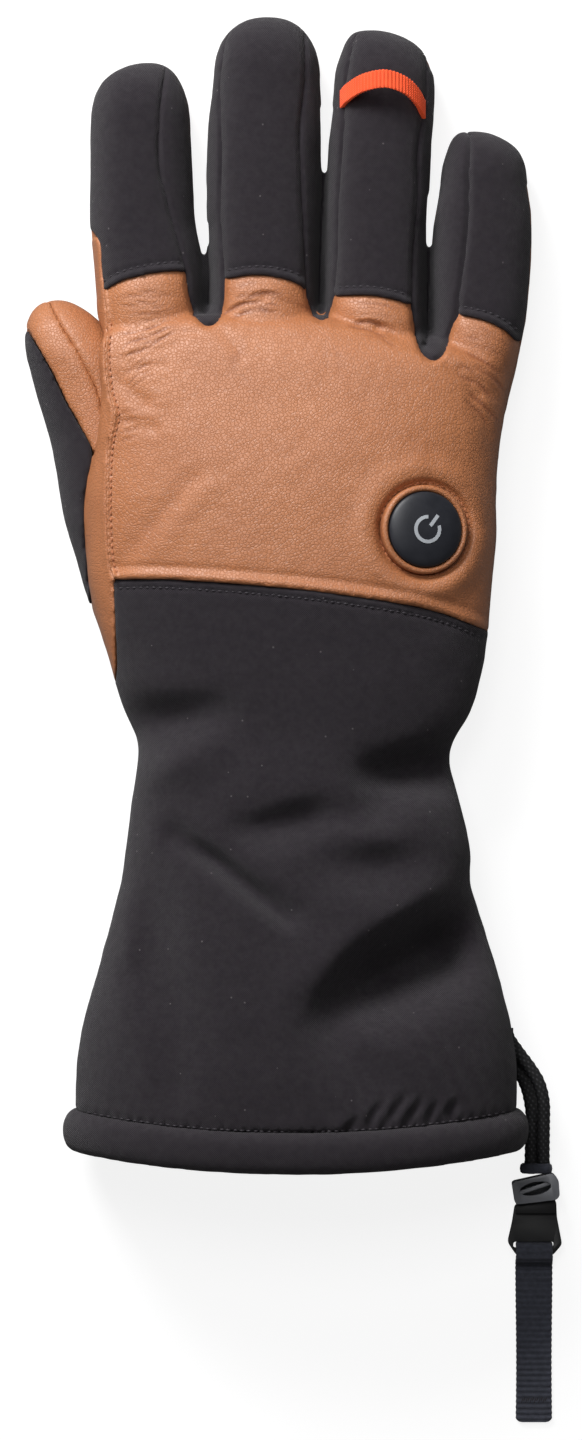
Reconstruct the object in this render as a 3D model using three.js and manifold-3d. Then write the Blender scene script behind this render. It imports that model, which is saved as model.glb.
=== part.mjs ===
// Heated glove for a right hand, lying on its palm, with the back of the hand up.
// Millimetres, +Z up. X runs from the thumb to the little finger and Y towards the fingertips.
// The origin is on the surface that the glove lies on, midway along and across it.

import * as THREE from 'three';
import { mergeVertices } from 'three/addons/utils/BufferGeometryUtils.js';
import Module from 'manifold-3d';

const wasm = await Module();
wasm.setup();

// Driving dimensions: the walls and their seams
const WALL = 3;
const SEAM_GAP = 0.3;
const FINGER_SEAM_Z = 10;
const SIDE_SEAM_Z = 19;
const THUMB_SEAM_Z = 8;
const THUMB_CROTCH_Y = 39;
const THUMB_CLEARANCE = 0.6;
const SEAM_LEAN = 0.55;
const SEAM_REACH_OUT = 1;
const SEAM_REACH_IN = 4.6;

// Driving dimensions: the cross-sections
const TOP_POWER = 2.4;
const FLOOR_POWER = 3.6;
const FLOOR_OVERSHOOT = 1.08;
const FINGER_EDGE = 0.45;
const HAND_SIDES = { top: 14, floor: 6 };
const FINGER_SIDES = { top: 8, floor: 4 };
const CUFF_STEP = 9;
const HAND_STEP = 16;
const FINGER_STEP = 22;
const THUMB_STEP = 13;

// Driving dimensions: the cuff's mouth and its rolled hem
const CUFF_END_Y = -147.85;
const CUFF_SAG = 5.3;
const CUFF_SAG_START_Y = -115;
const HEM_END_Y = -159;
const WRIST_END_Y = -30;
const HEM_BULGE = 3.4;

// Driving dimensions: the button on the back of the hand
const BUTTON_X = 40.9;
const BUTTON_Y = 17.2;
const BUTTON_RADIUS = 10.6;
const BUTTON_CLEARANCE = 0.4;
const BEZEL_RADIUS = 13.5;
const BEZEL_RISE = 2.8;
const BUTTON_TRAVEL = 0.8;

// Driving dimensions: the webbing, the drawcord, its lock and its pull
const LOOP_WIDTH = 5.2;
const LOOP_THICKNESS = 1.3;
const LOOP_RISE = 6.6;
const CORD_DIAMETER = 3.8;
const CORD_SIDES = 8;
const CORD_STEPS = 6;
const LOCK_THICKNESS = 9;
const PLATE_THICKNESS = 5;
const TAB_THICKNESS = 1.6;

const BEYOND = 200;

// A table of sizes: the first list names the columns
function table(columns, rows) {
  return rows.map((row) => Object.fromEntries(columns.map((name, i) => [name, row[i]])));
}

// The hand and cuff, section by section: edges, height, and how high each edge bulges
const HAND = {
  sides: HAND_SIDES,
  tip: { x: -4, y: 79, length: 8, power: 2.3, skew: 5 },
  rows: table(['y', 'left', 'right', 'crown', 'leftEdge', 'rightEdge'], [
    [-164, -58.7, 67.4, 57, 24, 24],
    [-134, -57.9, 67.4, 56.5, 24, 24],
    [-122, -55.9, 65.6, 55, 24, 24],
    [-105, -51.0, 61.0, 52, 23, 23],
    [-88, -46.5, 55.7, 49, 23, 23],
    [-82, -45.0, 53.6, 48, 22, 22],
    [-77, -44.3, 54.4, 47, 22, 22],
    [-71, -43.6, 53.9, 46, 22, 22],
    [-59.5, -42.2, 51.0, 44, 21, 21],
    [-48, -40.4, 47.9, 42.5, 20, 20],
    [-42.5, -40.2, 49.0, 42, 20, 20],
    [-37, -43.0, 53.0, 42, 20, 20],
    [-31, -45.6, 55.6, 42.5, 20, 20],
    [-19.5, -48.6, 58.4, 43, 20, 20],
    [-8, -52.4, 59.6, 43.5, 20, 20],
    [3, -54.8, 60.5, 44, 20, 20],
    [15, -55.4, 61.8, 44, 21, 19],
    [27, -55.5, 61.6, 43.5, 22, 19],
    [38, -53.4, 62.2, 42.5, 24, 18],
    [47, -51.4, 63.5, 41, 28, 18],
    [57, -50.8, 65.2, 39, 29, 17],
    [66, -51.6, 66.5, 37, 28, 17],
    [70, -51.5, 55.0, 35.5, 28, 18],
    [73, -50.0, 42.0, 34, 27, 18],
  ]),
};

// The four fingers and the thumb, each from its base to where its tip starts to round
const fingerColumns = ['y', 'left', 'right', 'crown'];
const FINGERS = {
  index: {
    tip: { x: -37.6, y: 151.2, length: 18, power: 2.3, skew: 5 },
    rows: [
      [58, -50.0, -22.5, 26],
      [76, -52.1, -21.7, 31],
      [88, -52.7, -21.8, 30],
      [97, -53.5, -22.6, 29],
      [105, -54.4, -24.3, 28.5],
      [133, -54.1, -25.7, 28],
    ],
  },
  middle: {
    tip: { x: -3.4, y: 164.3, length: 18, power: 2.3, skew: 5 },
    rows: [
      [58, -20.0, 11.0, 27],
      [77, -20.9, 11.3, 31.5],
      [88, -20.9, 11.6, 30],
      [105, -20.9, 12.1, 29.5],
      [121, -21.1, 12.2, 29],
      [134, -20.5, 12.1, 28.5],
      [146, -19.0, 11.4, 28],
    ],
  },
  ring: {
    tip: { x: 25.4, y: 160.6, length: 18, power: 2.3, skew: 5 },
    rows: [
      [52, 13.0, 43.0, 27],
      [66, 12.0, 43.3, 31],
      [78, 12.2, 42.8, 30.5],
      [88, 12.6, 42.3, 29.5],
      [105, 12.8, 42.1, 29],
      [122, 12.9, 43.0, 28.5],
      [130, 13.7, 43.5, 28],
      [142, 15.4, 44.2, 27.5],
    ],
  },
  little: {
    tip: { x: 54.7, y: 131.8, length: 16, power: 2.3, skew: 5 },
    rows: [
      [52, 45.0, 64.5, 25],
      [66, 44.1, 68.0, 29],
      [78, 43.4, 70.4, 28],
      [92, 42.9, 71.6, 27],
      [102, 43.1, 72.1, 26.5],
      [110, 43.9, 71.7, 26],
      [115, 46.0, 70.7, 25.5],
    ],
  },
  thumb: {
    tip: { x: -64.1, y: 83.6, length: 20, power: 2, skew: 1 },
    rows: [
      [-25, -46.5, -27.0, 20],
      [-14, -50.4, -26.0, 24],
      [-2, -54.7, -26.0, 26],
      [9, -58.1, -28.0, 27],
      [20, -61.6, -31.0, 27.5],
      [32, -63.6, -34.0, 27],
      [43, -65.5, -37.0, 26],
      [55, -69.3, -40.0, 25.5],
      [63, -71.5, -43.0, 25.5],
    ],
  },
};
for (const finger of Object.values(FINGERS)) {
  finger.sides = FINGER_SIDES;
  finger.rows = table(fingerColumns, finger.rows);
  for (const row of finger.rows) {
    row.leftEdge = FINGER_EDGE * row.crown;
    row.rightEdge = FINGER_EDGE * row.crown;
  }
}

// Folds of the cuff: each is pressed in, or raised, along a line
const FOLDS = table(['x0', 'y0', 'x1', 'y1', 'width', 'rise'], [
  [-38.5, -36.6, -20, -34.6, 4, -3],
  [-38, -52, -23, -43, 5, 2],
  [27, -52, 46, -49.5, 7, -5],
  [-10, -66.5, 28, -62, 4.5, -2.5],
  [-4, -75, 30, -70, 6, 1.5],
  [-29, -69.4, 3.4, -92, 4.5, -3],
  [8, -111, 42, -90, 9, 2],
  [14, -118, 46, -103, 7, -5],
  [46, -103, 57, -86, 7, -3],
  [-41, -109, -29, -136, 5, -2],
]);

// Seams on the top, as points on the surface
const seamColumns = ['x', 'y'];
const INDEX_RIGHT = table(seamColumns, [
  [-32.5, 149], [-34.2, 134.1], [-34.1, 120.4], [-32.5, 113], [-30.4, 104.5], [-26.8, 91.3],
  [-26.3, 86.5], [-24.8, 80.2], [-23.2, 77.1], [-20.8, 75.2],
]);
const MIDDLE_LEFT = table(seamColumns, [
  [-19.1, 75.4], [-17.4, 77.1], [-16.1, 81.9], [-15.8, 88.8], [-16.8, 106.7], [-16.6, 125.3],
  [-17.1, 143.8], [-15.8, 156.3],
]);
const MIDDLE_RIGHT = table(seamColumns, [
  [7, 158.9], [7.1, 145.8], [5.7, 132.5], [5.7, 123.5], [6.5, 104.2], [7.4, 85.9], [8, 82.5],
  [9.7, 78.5], [11.4, 76.9],
]);
const RING_LEFT = table(seamColumns, [
  [13, 77.3], [14.4, 80.5], [15.3, 84.1], [16.2, 95], [16.4, 106.2], [17.1, 118], [18.1, 129.8],
  [18.5, 142.2], [20.9, 157.5],
]);
const RING_RIGHT = table(seamColumns, [
  [41, 154.7], [41.7, 147.8], [41, 138.8], [39.1, 125.6], [39.1, 113.1], [38.2, 102], [37.6, 92.3],
  [37.5, 81.1], [38.2, 75.5], [39, 71.2], [40.4, 67.5], [42.7, 65.4],
]);
const LITTLE_LEFT = table(seamColumns, [
  [44.6, 65.6], [45.9, 66.8], [47.3, 70.1], [48.7, 74.8], [50.4, 78.8], [50.9, 83.4], [52.1, 92.3],
  [53.5, 106.2], [53.7, 120.1], [54.3, 131.8],
]);
const WELT = table(seamColumns, [
  [-54.4, 103.9], [-51.4, 99], [-51, 92.8], [-50.2, 85.4], [-49.3, 76.1], [-49.8, 67], [-48.9, 57],
  [-47, 50], [-48.2, 44], [-49, 37.9],
  [-49.3, 24], [-48.7, 9.3], [-47, 3.3],
]);
const TONGUE = table(seamColumns, [[-47, 3.3], [-46.4, -9.4], [-46, -22]]);
const INDEX_EDGE = table(seamColumns, [[-45.2, 88.2], [-36.5, 90.4]]);
const MIDDLE_EDGE = table(seamColumns, [[-5.5, 89.9], [3.6, 88.2]]);
const RING_EDGE = table(seamColumns, [[25.7, 84.1], [32.7, 82.8]]);
const LITTLE_EDGE = table(seamColumns, [[58.2, 77.1], [61.8, 75.5], [64.7, 73.7]]);
const CUFF_SEAM = table(seamColumns, [
  [-47, 3.3], [-34.2, 3.4], [-17.1, 2.4], [0, 1], [17.1, -1], [34.2, -3.6], [45.6, -6.1],
  [59, -11], [80, -20],
]);
const THUMB_BLACK = table(seamColumns, [
  [-72.8, 75.4], [-68.7, 68.5], [-65, 62], [-61.7, 55], [-58.1, 48.4], [-53.6, 39.6], [-55, 31.5],
  [-55.8, 24], [-55.4, 13], [-54.6, 4], [-53, -5], [-50, -14],
]);
const THUMB_PANEL = table(seamColumns, [
  [-65.3, 83.1], [-64.2, 80.1], [-61.7, 75.4], [-58.4, 70], [-55.1, 64.1], [-52.2, 58.3],
  [-50, 51], [-48.5, 45],
]);

// Plain arithmetic
const mix = (a, b, t) => a + (b - a) * t;
const clamp = (value, low, high) => Math.min(Math.max(value, low), high);
const smooth = (t) => clamp(t, 0, 1) ** 2 * (3 - 2 * clamp(t, 0, 1));

// The section of a form at y, moved in from its surface by inset
function sectionAt(form, y, inset = 0) {
  const { rows, tip } = form;
  let k = 0;
  while (k < rows.length - 2 && y > rows[k + 1].y) k += 1;
  const part = clamp((y - rows[k].y) / (rows[k + 1].y - rows[k].y), 0, 1);
  const at = (name) => mix(rows[k][name], rows[k + 1][name], part);
  const along = clamp((y - (tip.y - inset - tip.length)) / tip.length, 0, 1);
  const scale = (1 - along ** tip.power) ** (1 / tip.power);
  const centre = (at('left') + at('right')) / 2;
  return {
    centre: mix(centre, tip.x, along ** tip.skew),
    half: ((at('right') - at('left')) / 2 - inset) * scale,
    crown: at('crown') - inset,
    leftEdge: at('leftEdge'),
    rightEdge: at('rightEdge'),
    scale,
  };
}

// How far the folds raise the top at x, y
function foldRise(x, y) {
  let rise = 0;
  for (const fold of FOLDS) {
    const dx = fold.x1 - fold.x0;
    const dy = fold.y1 - fold.y0;
    const t = clamp(((x - fold.x0) * dx + (y - fold.y0) * dy) / (dx * dx + dy * dy), 0, 1);
    const away = Math.hypot(x - fold.x0 - dx * t, y - fold.y0 - dy * t);
    rise += fold.rise * Math.exp(-((away / fold.width) ** 2));
  }
  return rise;
}

// How far the cuff's mouth sags towards the wearer between its two sides
function cuffSag(u, y) {
  const along = smooth((CUFF_SAG_START_Y - y) / (CUFF_SAG_START_Y - CUFF_END_Y));
  return CUFF_SAG * (1 - u * u) * along;
}

// A point of the section at y, at an angle round it
function sectionPoint(form, y, angle, inset) {
  const section = sectionAt(form, y, inset);
  const top = Math.sin(angle) > 0;
  const power = top ? TOP_POWER : FLOOR_POWER;
  const u = Math.sign(Math.cos(angle)) * Math.abs(Math.cos(angle)) ** (2 / power);
  const w = Math.abs(Math.sin(angle)) ** (2 / power);
  const x = section.centre + section.half * u;
  const edge = mix(section.leftEdge, section.rightEdge, (u + 1) / 2);
  const floor = Math.max(inset, 0);
  if (!top) {
    const drop = (edge - inset) * FLOOR_OVERSHOOT * w * section.scale;
    return new THREE.Vector3(x, y - (form === HAND ? cuffSag(u, y) : 0), Math.max(edge - drop, floor));
  }
  const height = edge + (section.crown - edge) * w * section.scale;
  if (form !== HAND) return new THREE.Vector3(x, y, height);
  const fold = foldRise(x, y) * clamp(1.4 * w, 0, 1);
  return new THREE.Vector3(x, y - cuffSag(u, y), height + fold);
}

// The height of a form's top at x, y, or zero beside it
function topOf(form, x, y) {
  if (y > form.tip.y || y < form.rows[0].y) return 0;
  const section = sectionAt(form, y);
  const u = (x - section.centre) / section.half;
  if (Math.abs(u) > 1) return 0;
  const edge = mix(section.leftEdge, section.rightEdge, (u + 1) / 2);
  const w = (1 - Math.abs(u) ** TOP_POWER) ** (1 / TOP_POWER);
  return edge + (section.crown - edge) * w * section.scale;
}

const FORMS = [HAND, ...Object.values(FINGERS)];
const topOfGlove = (x, y) => Math.max(...FORMS.map((form) => topOf(form, x, y)));
const THUMB_EDGE_Z = FINGERS.thumb.rows.at(-1).leftEdge;
const topOfThumb = (x, y) => Math.max(topOf(FINGERS.thumb, x, y), THUMB_EDGE_Z);

// A closed geometry from points and triangles
function meshGeometry(points, triangles) {
  const geometry = new THREE.BufferGeometry();
  const numbers = points.flatMap((p) => [p.x, p.y, p.z]);
  geometry.setAttribute('position', new THREE.Float32BufferAttribute(numbers, 3));
  geometry.setIndex(triangles.flat());
  return geometry;
}

// A solid for joins and cuts, and the way back
function solidOf(geometry) {
  const plain = geometry.clone();
  plain.deleteAttribute('normal');
  plain.deleteAttribute('uv');
  const merged = mergeVertices(plain, 1e-4);
  return new wasm.Manifold(new wasm.Mesh({
    numProp: 3,
    vertProperties: new Float32Array(merged.attributes.position.array),
    triVerts: new Uint32Array(merged.index.array),
  }));
}

function geometryOf(solid) {
  const { vertProperties, triVerts } = solid.getMesh();
  const geometry = new THREE.BufferGeometry();
  geometry.setAttribute('position', new THREE.BufferAttribute(new Float32Array(vertProperties), 3));
  geometry.setIndex(new THREE.BufferAttribute(new Uint32Array(triVerts), 1));
  return geometry;
}

const union = (solids) => solids.reduce((all, next) => all.add(next));

function boxSolid(low, high) {
  const size = low.map((value, i) => high[i] - value);
  const box = new THREE.BoxGeometry(...size);
  box.translate(...low.map((value, i) => value + size[i] / 2));
  return solidOf(box);
}

// The two ends and the skin of a stack of rings with equal counts of points
function ringSolid(rings) {
  const count = rings[0].length;
  const points = rings.flat();
  const triangles = [];
  for (let j = 0; j < rings.length - 1; j += 1) {
    for (let i = 0; i < count; i += 1) {
      const a = j * count + i;
      const b = j * count + ((i + 1) % count);
      triangles.push([a, a + count, b + count], [a, b + count, b]);
    }
  }
  const last = (rings.length - 1) * count;
  const middleOf = (ring) => ring.reduce((sum, p) => sum.add(p), new THREE.Vector3()).divideScalar(count);
  points.push(middleOf(rings[0]), middleOf(rings[rings.length - 1]));
  for (let i = 0; i < count; i += 1) {
    const next = (i + 1) % count;
    triangles.push([points.length - 2, i, next], [points.length - 1, last + next, last + i]);
  }
  return solidOf(meshGeometry(points, triangles));
}

// The angles of a section's points: more over the top than along the flat floor
function anglesOf({ top, floor }) {
  const over = Array.from({ length: top + 1 }, (_, i) => (i / top) * Math.PI);
  const under = Array.from({ length: floor - 1 }, (_, i) => Math.PI * (1 + (i + 1) / floor));
  return [...over, ...under];
}

function loftSolid(form, stations, insetAt) {
  const angles = anglesOf(form.sides);
  return ringSolid(stations.map((y) => angles.map((angle) => sectionPoint(form, y, angle, insetAt(y)))));
}

// Even steps from one y to another, without the last
function steps(from, to, step) {
  const count = Math.round((to - from) / step);
  return Array.from({ length: count }, (_, i) => mix(from, to, i / count));
}

// Where the rings of a form lie: even steps along it, then closer ones round the tip
function stationsOf(form, from, step, inset) {
  const start = form.tip.y - inset - form.tip.length;
  const tip = [0, 0.48, 0.8, 0.97].map((t) => start + t * form.tip.length);
  return [...steps(from, start, step), ...tip];
}

function formSolid(form, from, step, inset) {
  return loftSolid(form, stationsOf(form, from, step, inset), () => inset);
}

// A seam: its points on the surface, each with the lean of the cut through the wall
function seam(points, height, side) {
  return points.map((point, i) => {
    const before = points[Math.max(i - 1, 0)];
    const after = points[Math.min(i + 1, points.length - 1)];
    const run = Math.hypot(after.x - before.x, after.y - before.y);
    const across = { x: -(after.y - before.y) / run, y: (after.x - before.x) / run };
    const out = new THREE.Vector3(across.x * side * SEAM_LEAN, across.y * side * SEAM_LEAN, 1);
    out.normalize();
    const on = new THREE.Vector3(point.x, point.y, height(point.x, point.y));
    return {
      inner: on.clone().addScaledVector(out, -SEAM_REACH_IN),
      outer: on.clone().addScaledVector(out, SEAM_REACH_OUT),
    };
  });
}

// A corner of a cutter that lies outside the glove
const corner = (x, y) => ({ inner: new THREE.Vector3(x, y, -20), outer: new THREE.Vector3(x, y, 40) });

// The way out from each corner of a closed outline
function outwardOf(outline) {
  const area = THREE.ShapeUtils.area(outline);
  const turn = Math.sign(area);
  return outline.map((point, i) => {
    const before = outline[(i + outline.length - 1) % outline.length];
    const after = outline[(i + 1) % outline.length];
    const one = new THREE.Vector2(point.y - before.y, before.x - point.x).normalize();
    const two = new THREE.Vector2(after.y - point.y, point.x - after.x).normalize();
    const sum = one.clone().add(two).multiplyScalar(turn);
    return sum.divideScalar(Math.max(1 + one.dot(two), 0.6));
  });
}

// The body that cuts one panel out of the walls. A dome opens upwards without end, and a valley
// closes just over its seams and runs down between two fingers.
function panelCutter(loop, grow, { valley = false, bottom = -BEYOND }) {
  const base = [loop.map((p) => p.inner), loop.map((p) => p.outer)];
  if (valley) base.unshift(loop.map((p) => p.inner.clone().setZ(-25)));
  else base.push(loop.map((p) => p.outer.clone().setZ(BEYOND)));
  const flat = (ring) => ring.map((p) => new THREE.Vector2(p.x, p.y));
  const turned = THREE.ShapeUtils.isClockWise(flat(base[1]));
  if (turned) base.forEach((ring) => ring.reverse());
  const ways = outwardOf(flat(base[1]));
  const rings = base.map((ring, j) => ring.map((p, i) => (
    new THREE.Vector3(p.x + ways[i].x * grow, p.y + ways[i].y * grow, j === 0 ? p.z - 5 * grow : p.z)
  )));
  const count = loop.length;
  const triangles = [];
  for (let i = 0; i < count; i += 1) {
    const next = (i + 1) % count;
    const [p, q] = [base[1][i], base[1][next]];
    const rising = p.x * 7 + p.y < q.x * 7 + q.y;
    for (let j = 0; j < rings.length - 1; j += 1) {
      const [a, b] = [j * count + i, j * count + next];
      if (rising) triangles.push([a, b, b + count], [a, b + count, a + count]);
      else triangles.push([a, b, a + count], [b, b + count, a + count]);
    }
  }
  const last = rings.length - 1;
  for (const [a, b, c] of THREE.ShapeUtils.triangulateShape(flat(base[0]), [])) triangles.push([a, c, b]);
  for (const face of THREE.ShapeUtils.triangulateShape(flat(base[last]), [])) {
    triangles.push(face.map((i) => i + last * count));
  }
  const body = solidOf(meshGeometry(rings.flat(), triangles));
  return body.intersect(boxSolid([-BEYOND, -BEYOND, bottom - grow], [BEYOND, BEYOND, BEYOND]));
}

// An upright cutter over an outline, between two heights
function curtainCutter(outline, grow, low, high) {
  const flat = outline.map((p) => new THREE.Vector2(p.x, p.y));
  const ways = outwardOf(flat);
  const shape = new THREE.Shape(flat.map((p, i) => p.clone().addScaledVector(ways[i], grow)));
  const depth = high - low + 2 * grow;
  const geometry = new THREE.ExtrudeGeometry(shape, { depth, bevelEnabled: false });
  geometry.translate(0, 0, low - grow);
  return solidOf(geometry);
}

// The closed outer form of the glove and the room inside it
const thumbTip = boxSolid([-BEYOND, THUMB_CROTCH_Y, -BEYOND], [BEYOND, BEYOND, BEYOND]);
const thumbTipInside = boxSolid([-BEYOND, THUMB_CROTCH_Y - WALL, -BEYOND], [BEYOND, BEYOND, BEYOND]);
const cuffStations = steps(CUFF_END_Y, WRIST_END_Y, CUFF_STEP);
const handStations = [...cuffStations, ...stationsOf(HAND, WRIST_END_Y, HAND_STEP, 0)];
const roomStations = [CUFF_END_Y - 40, ...cuffStations, ...stationsOf(HAND, WRIST_END_Y, HAND_STEP, WALL)];
const thumbOuter = formSolid(FINGERS.thumb, -24, THUMB_STEP, 0);
const thumbRoom = formSolid(FINGERS.thumb, -14, THUMB_STEP, WALL);
const thumbPlace = formSolid(FINGERS.thumb, -24, THUMB_STEP, -THUMB_CLEARANCE).intersect(thumbTip);
const thumbPlaceAndWall = formSolid(FINGERS.thumb, -24, THUMB_STEP, -THUMB_CLEARANCE - WALL)
  .intersect(thumbTipInside);
const handOuter = loftSolid(HAND, handStations, () => 0).subtract(thumbPlace);
const handRoom = loftSolid(HAND, roomStations, () => WALL).subtract(thumbPlaceAndWall);
const fingerForms = [FINGERS.index, FINGERS.middle, FINGERS.ring, FINGERS.little];
const fingersOuter = fingerForms.map((form) => (
  formSolid(form, form.rows[0].y, FINGER_STEP, 0).subtract(thumbPlace)
));
const fingerRooms = fingerForms.map((form) => (
  formSolid(form, form.rows[0].y - 4, FINGER_STEP, WALL).subtract(thumbPlaceAndWall)
));
const room = union([handRoom, thumbRoom, ...fingerRooms]);
const gloveWall = union([handOuter, thumbOuter.subtract(thumbTip), ...fingersOuter]).subtract(room);
const thumbWall = thumbOuter.subtract(room);

// The seams as cuts
const indexMiddle = seam([...INDEX_RIGHT, ...MIDDLE_LEFT], topOfGlove, 1);
const middleRing = seam([...MIDDLE_RIGHT, ...RING_LEFT], topOfGlove, 1);
const ringLittle = seam([...RING_RIGHT, ...LITTLE_LEFT], topOfGlove, 1);
const welt = seam(WELT, topOfGlove, -1);
const upright = (points) => points.map((point) => {
  const on = new THREE.Vector3(point.x, point.y, topOfGlove(point.x, point.y));
  return { inner: on.clone().setZ(on.z - SEAM_REACH_IN), outer: on.clone().setZ(on.z + SEAM_REACH_OUT) };
});
const indexEdge = upright(INDEX_EDGE);
const middleEdge = upright(MIDDLE_EDGE);
const ringEdge = upright(RING_EDGE);
const littleEdge = upright(LITTLE_EDGE);
const cuffEdge = upright(CUFF_SEAM.slice(1, -2));
const thumbBlack = seam(THUMB_BLACK.slice(0, 6), topOfThumb, -1);
const thumbPanel = seam(THUMB_PANEL, topOfThumb, 1);

// Where each finger's front edge meets the seams beside it
const WELT_JOIN = 3;
const INDEX_JOIN = 5;
const MIDDLE_LEFT_JOIN = INDEX_RIGHT.length + 3;
const MIDDLE_RIGHT_JOIN = 5;
const RING_LEFT_JOIN = MIDDLE_RIGHT.length + 2;
const RING_RIGHT_JOIN = 7;
const LITTLE_JOIN = RING_RIGHT.length + 4;

const up = (list, from, to) => list.slice(from, to + 1).reverse();
const down = (list, from, to) => list.slice(from, to + 1);
const end = (list) => list.length - 1;

// The outline of each panel on the top
const LOOPS = {
  index_back: {
    loop: [corner(-75, 175), corner(-75, 103.9), ...down(welt, 0, WELT_JOIN), ...indexEdge,
      ...up(indexMiddle, 0, INDEX_JOIN), corner(-32.5, 175)],
    bottom: FINGER_SEAM_Z,
  },
  middle_back: {
    loop: [corner(-15.8, 175), ...up(indexMiddle, MIDDLE_LEFT_JOIN, end(indexMiddle)), ...middleEdge,
      ...up(middleRing, 0, MIDDLE_RIGHT_JOIN), corner(7, 175)],
    bottom: FINGER_SEAM_Z,
  },
  ring_back: {
    loop: [corner(20.9, 175), ...up(middleRing, RING_LEFT_JOIN, end(middleRing)), ...ringEdge,
      ...up(ringLittle, 0, RING_RIGHT_JOIN), corner(41, 175)],
    bottom: FINGER_SEAM_Z,
  },
  little_back: {
    loop: [corner(54.3, 175), ...up(ringLittle, LITTLE_JOIN, end(ringLittle)), ...littleEdge,
      corner(68, 70.4), corner(85, 70.4), corner(85, 175)],
    bottom: FINGER_SEAM_Z,
  },
  index_middle_gusset: {
    loop: [...indexMiddle, corner(-15.8, 175), corner(-32.5, 175)],
    valley: true,
    bottom: FINGER_SEAM_Z,
  },
  middle_ring_gusset: {
    loop: [...middleRing, corner(20.9, 175), corner(7, 175)],
    valley: true,
    bottom: FINGER_SEAM_Z,
  },
  ring_little_gusset: {
    loop: [...ringLittle, corner(54.3, 175), corner(41, 175)],
    valley: true,
    bottom: FINGER_SEAM_Z,
  },
  hand_back: {
    loop: [...down(welt, WELT_JOIN, end(welt)), ...cuffEdge, corner(59, -11), corner(85, -20),
      corner(85, 70.4), corner(68, 70.4), ...up(littleEdge, 0, end(littleEdge)),
      ...up(ringLittle, RING_RIGHT_JOIN, LITTLE_JOIN),
      ...up(ringEdge, 0, end(ringEdge)), ...up(middleRing, MIDDLE_RIGHT_JOIN, RING_LEFT_JOIN),
      ...up(middleEdge, 0, end(middleEdge)), ...up(indexMiddle, INDEX_JOIN, MIDDLE_LEFT_JOIN),
      ...up(indexEdge, 0, end(indexEdge))],
    bottom: SIDE_SEAM_Z,
  },
};

const halfGap = SEAM_GAP / 2;
const cutBy = (name, grow) => panelCutter(LOOPS[name].loop, grow, LOOPS[name]);
const panels = {};
for (const name of Object.keys(LOOPS)) panels[name] = gloveWall.intersect(cutBy(name, -halfGap));
panels.hand_back = panels.hand_back.subtract(
  formSolid(FINGERS.thumb, -24, THUMB_STEP, -THUMB_CLEARANCE - WALL - SEAM_GAP).intersect(thumbTipInside),
);

// The cuff, parted from the hand all the way round and split at its sides
const cuffTop = [...CUFF_SEAM, { x: 80, y: -BEYOND }, { x: -80, y: -BEYOND }, { x: -80, y: -28 },
  { x: -47, y: -28 }, ...up(TONGUE, 1, 2)];
const cuffFloor = [{ x: -30, y: -12 }, { x: 40, y: -12 }, { x: 80, y: -20 }, { x: 80, y: -BEYOND },
  { x: -80, y: -BEYOND }, { x: -80, y: -28 }, { x: -40, y: -28 }];
const cuffTopCutter = (grow) => curtainCutter(cuffTop, grow, SIDE_SEAM_Z, BEYOND);
const cuffFloorCutter = (grow) => curtainCutter(cuffFloor, grow, -BEYOND, SIDE_SEAM_Z);
panels.gauntlet_back = gloveWall.intersect(cuffTopCutter(-halfGap));
panels.gauntlet_front = gloveWall.intersect(cuffFloorCutter(-halfGap));

// The thumb: a black outer side, and two leather panels above its crotch
const thumbSide = [...THUMB_BLACK, { x: -60, y: -30 }, { x: -95, y: -30 }, { x: -95, y: 75.4 }];
const thumbSideCutter = (grow) => curtainCutter(thumbSide, grow, THUMB_SEAM_Z, BEYOND);
const thumbTopLoop = [corner(-95, 75.4), ...thumbBlack, corner(-48.5, 39.6),
  ...up(thumbPanel, 0, end(thumbPanel)), corner(-65.3, 110), corner(-95, 110)];
const thumbTopCutter = (grow) => panelCutter(thumbTopLoop, grow, { bottom: THUMB_SEAM_Z });
const aboveCrotch = boxSolid([-BEYOND, THUMB_CROTCH_Y + halfGap, -BEYOND], [BEYOND, BEYOND, BEYOND]);
panels.thumb_back = thumbWall.intersect(thumbSideCutter(-halfGap));
panels.thumb_top = thumbWall.intersect(aboveCrotch)
  .subtract(thumbSideCutter(halfGap)).intersect(thumbTopCutter(-halfGap));
panels.thumb_inner = thumbWall.intersect(aboveCrotch)
  .subtract(thumbSideCutter(halfGap)).subtract(thumbTopCutter(halfGap));

// The palm is what the other panels leave of the walls
const belowCrotch = boxSolid([-BEYOND, -BEYOND, -BEYOND], [BEYOND, THUMB_CROTCH_Y - halfGap, BEYOND]);
panels.palm = union([handOuter, thumbOuter.intersect(belowCrotch), ...fingersOuter]).subtract(room);
for (const name of Object.keys(LOOPS)) panels.palm = panels.palm.subtract(cutBy(name, halfGap));
const palmReach = union([
  boxSolid([-BEYOND, -BEYOND, -BEYOND], [BEYOND, BEYOND, FINGER_SEAM_Z - halfGap]),
  boxSolid([-BEYOND, -BEYOND, 0], [-44, 101.5, BEYOND]),
  boxSolid([20, -BEYOND, 0], [BEYOND, 70.4, SIDE_SEAM_Z - halfGap]),
]);
panels.palm = panels.palm.subtract(cuffTopCutter(halfGap)).subtract(cuffFloorCutter(halfGap))
  .subtract(thumbSideCutter(halfGap)).intersect(palmReach);

// The rolled hem, which swells out past the cuff and in again
const hemStations = [0.3, 1.2, 3, 5.6, 8.2, 10.2, 11.15].map((away) => CUFF_END_Y - away).reverse();
const hemSwell = (y) => {
  const along = (CUFF_END_Y - y) / (CUFF_END_Y - HEM_END_Y);
  return -HEM_BULGE * Math.sqrt(clamp(1 - (2 * along - 1) ** 2, 0.03, 1));
};
panels.hem = loftSolid(HAND, hemStations, hemSwell)
  .subtract(loftSolid(HAND, [HEM_END_Y - 10, HEM_END_Y, CUFF_END_Y, CUFF_END_Y + 8], () => WALL));

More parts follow.
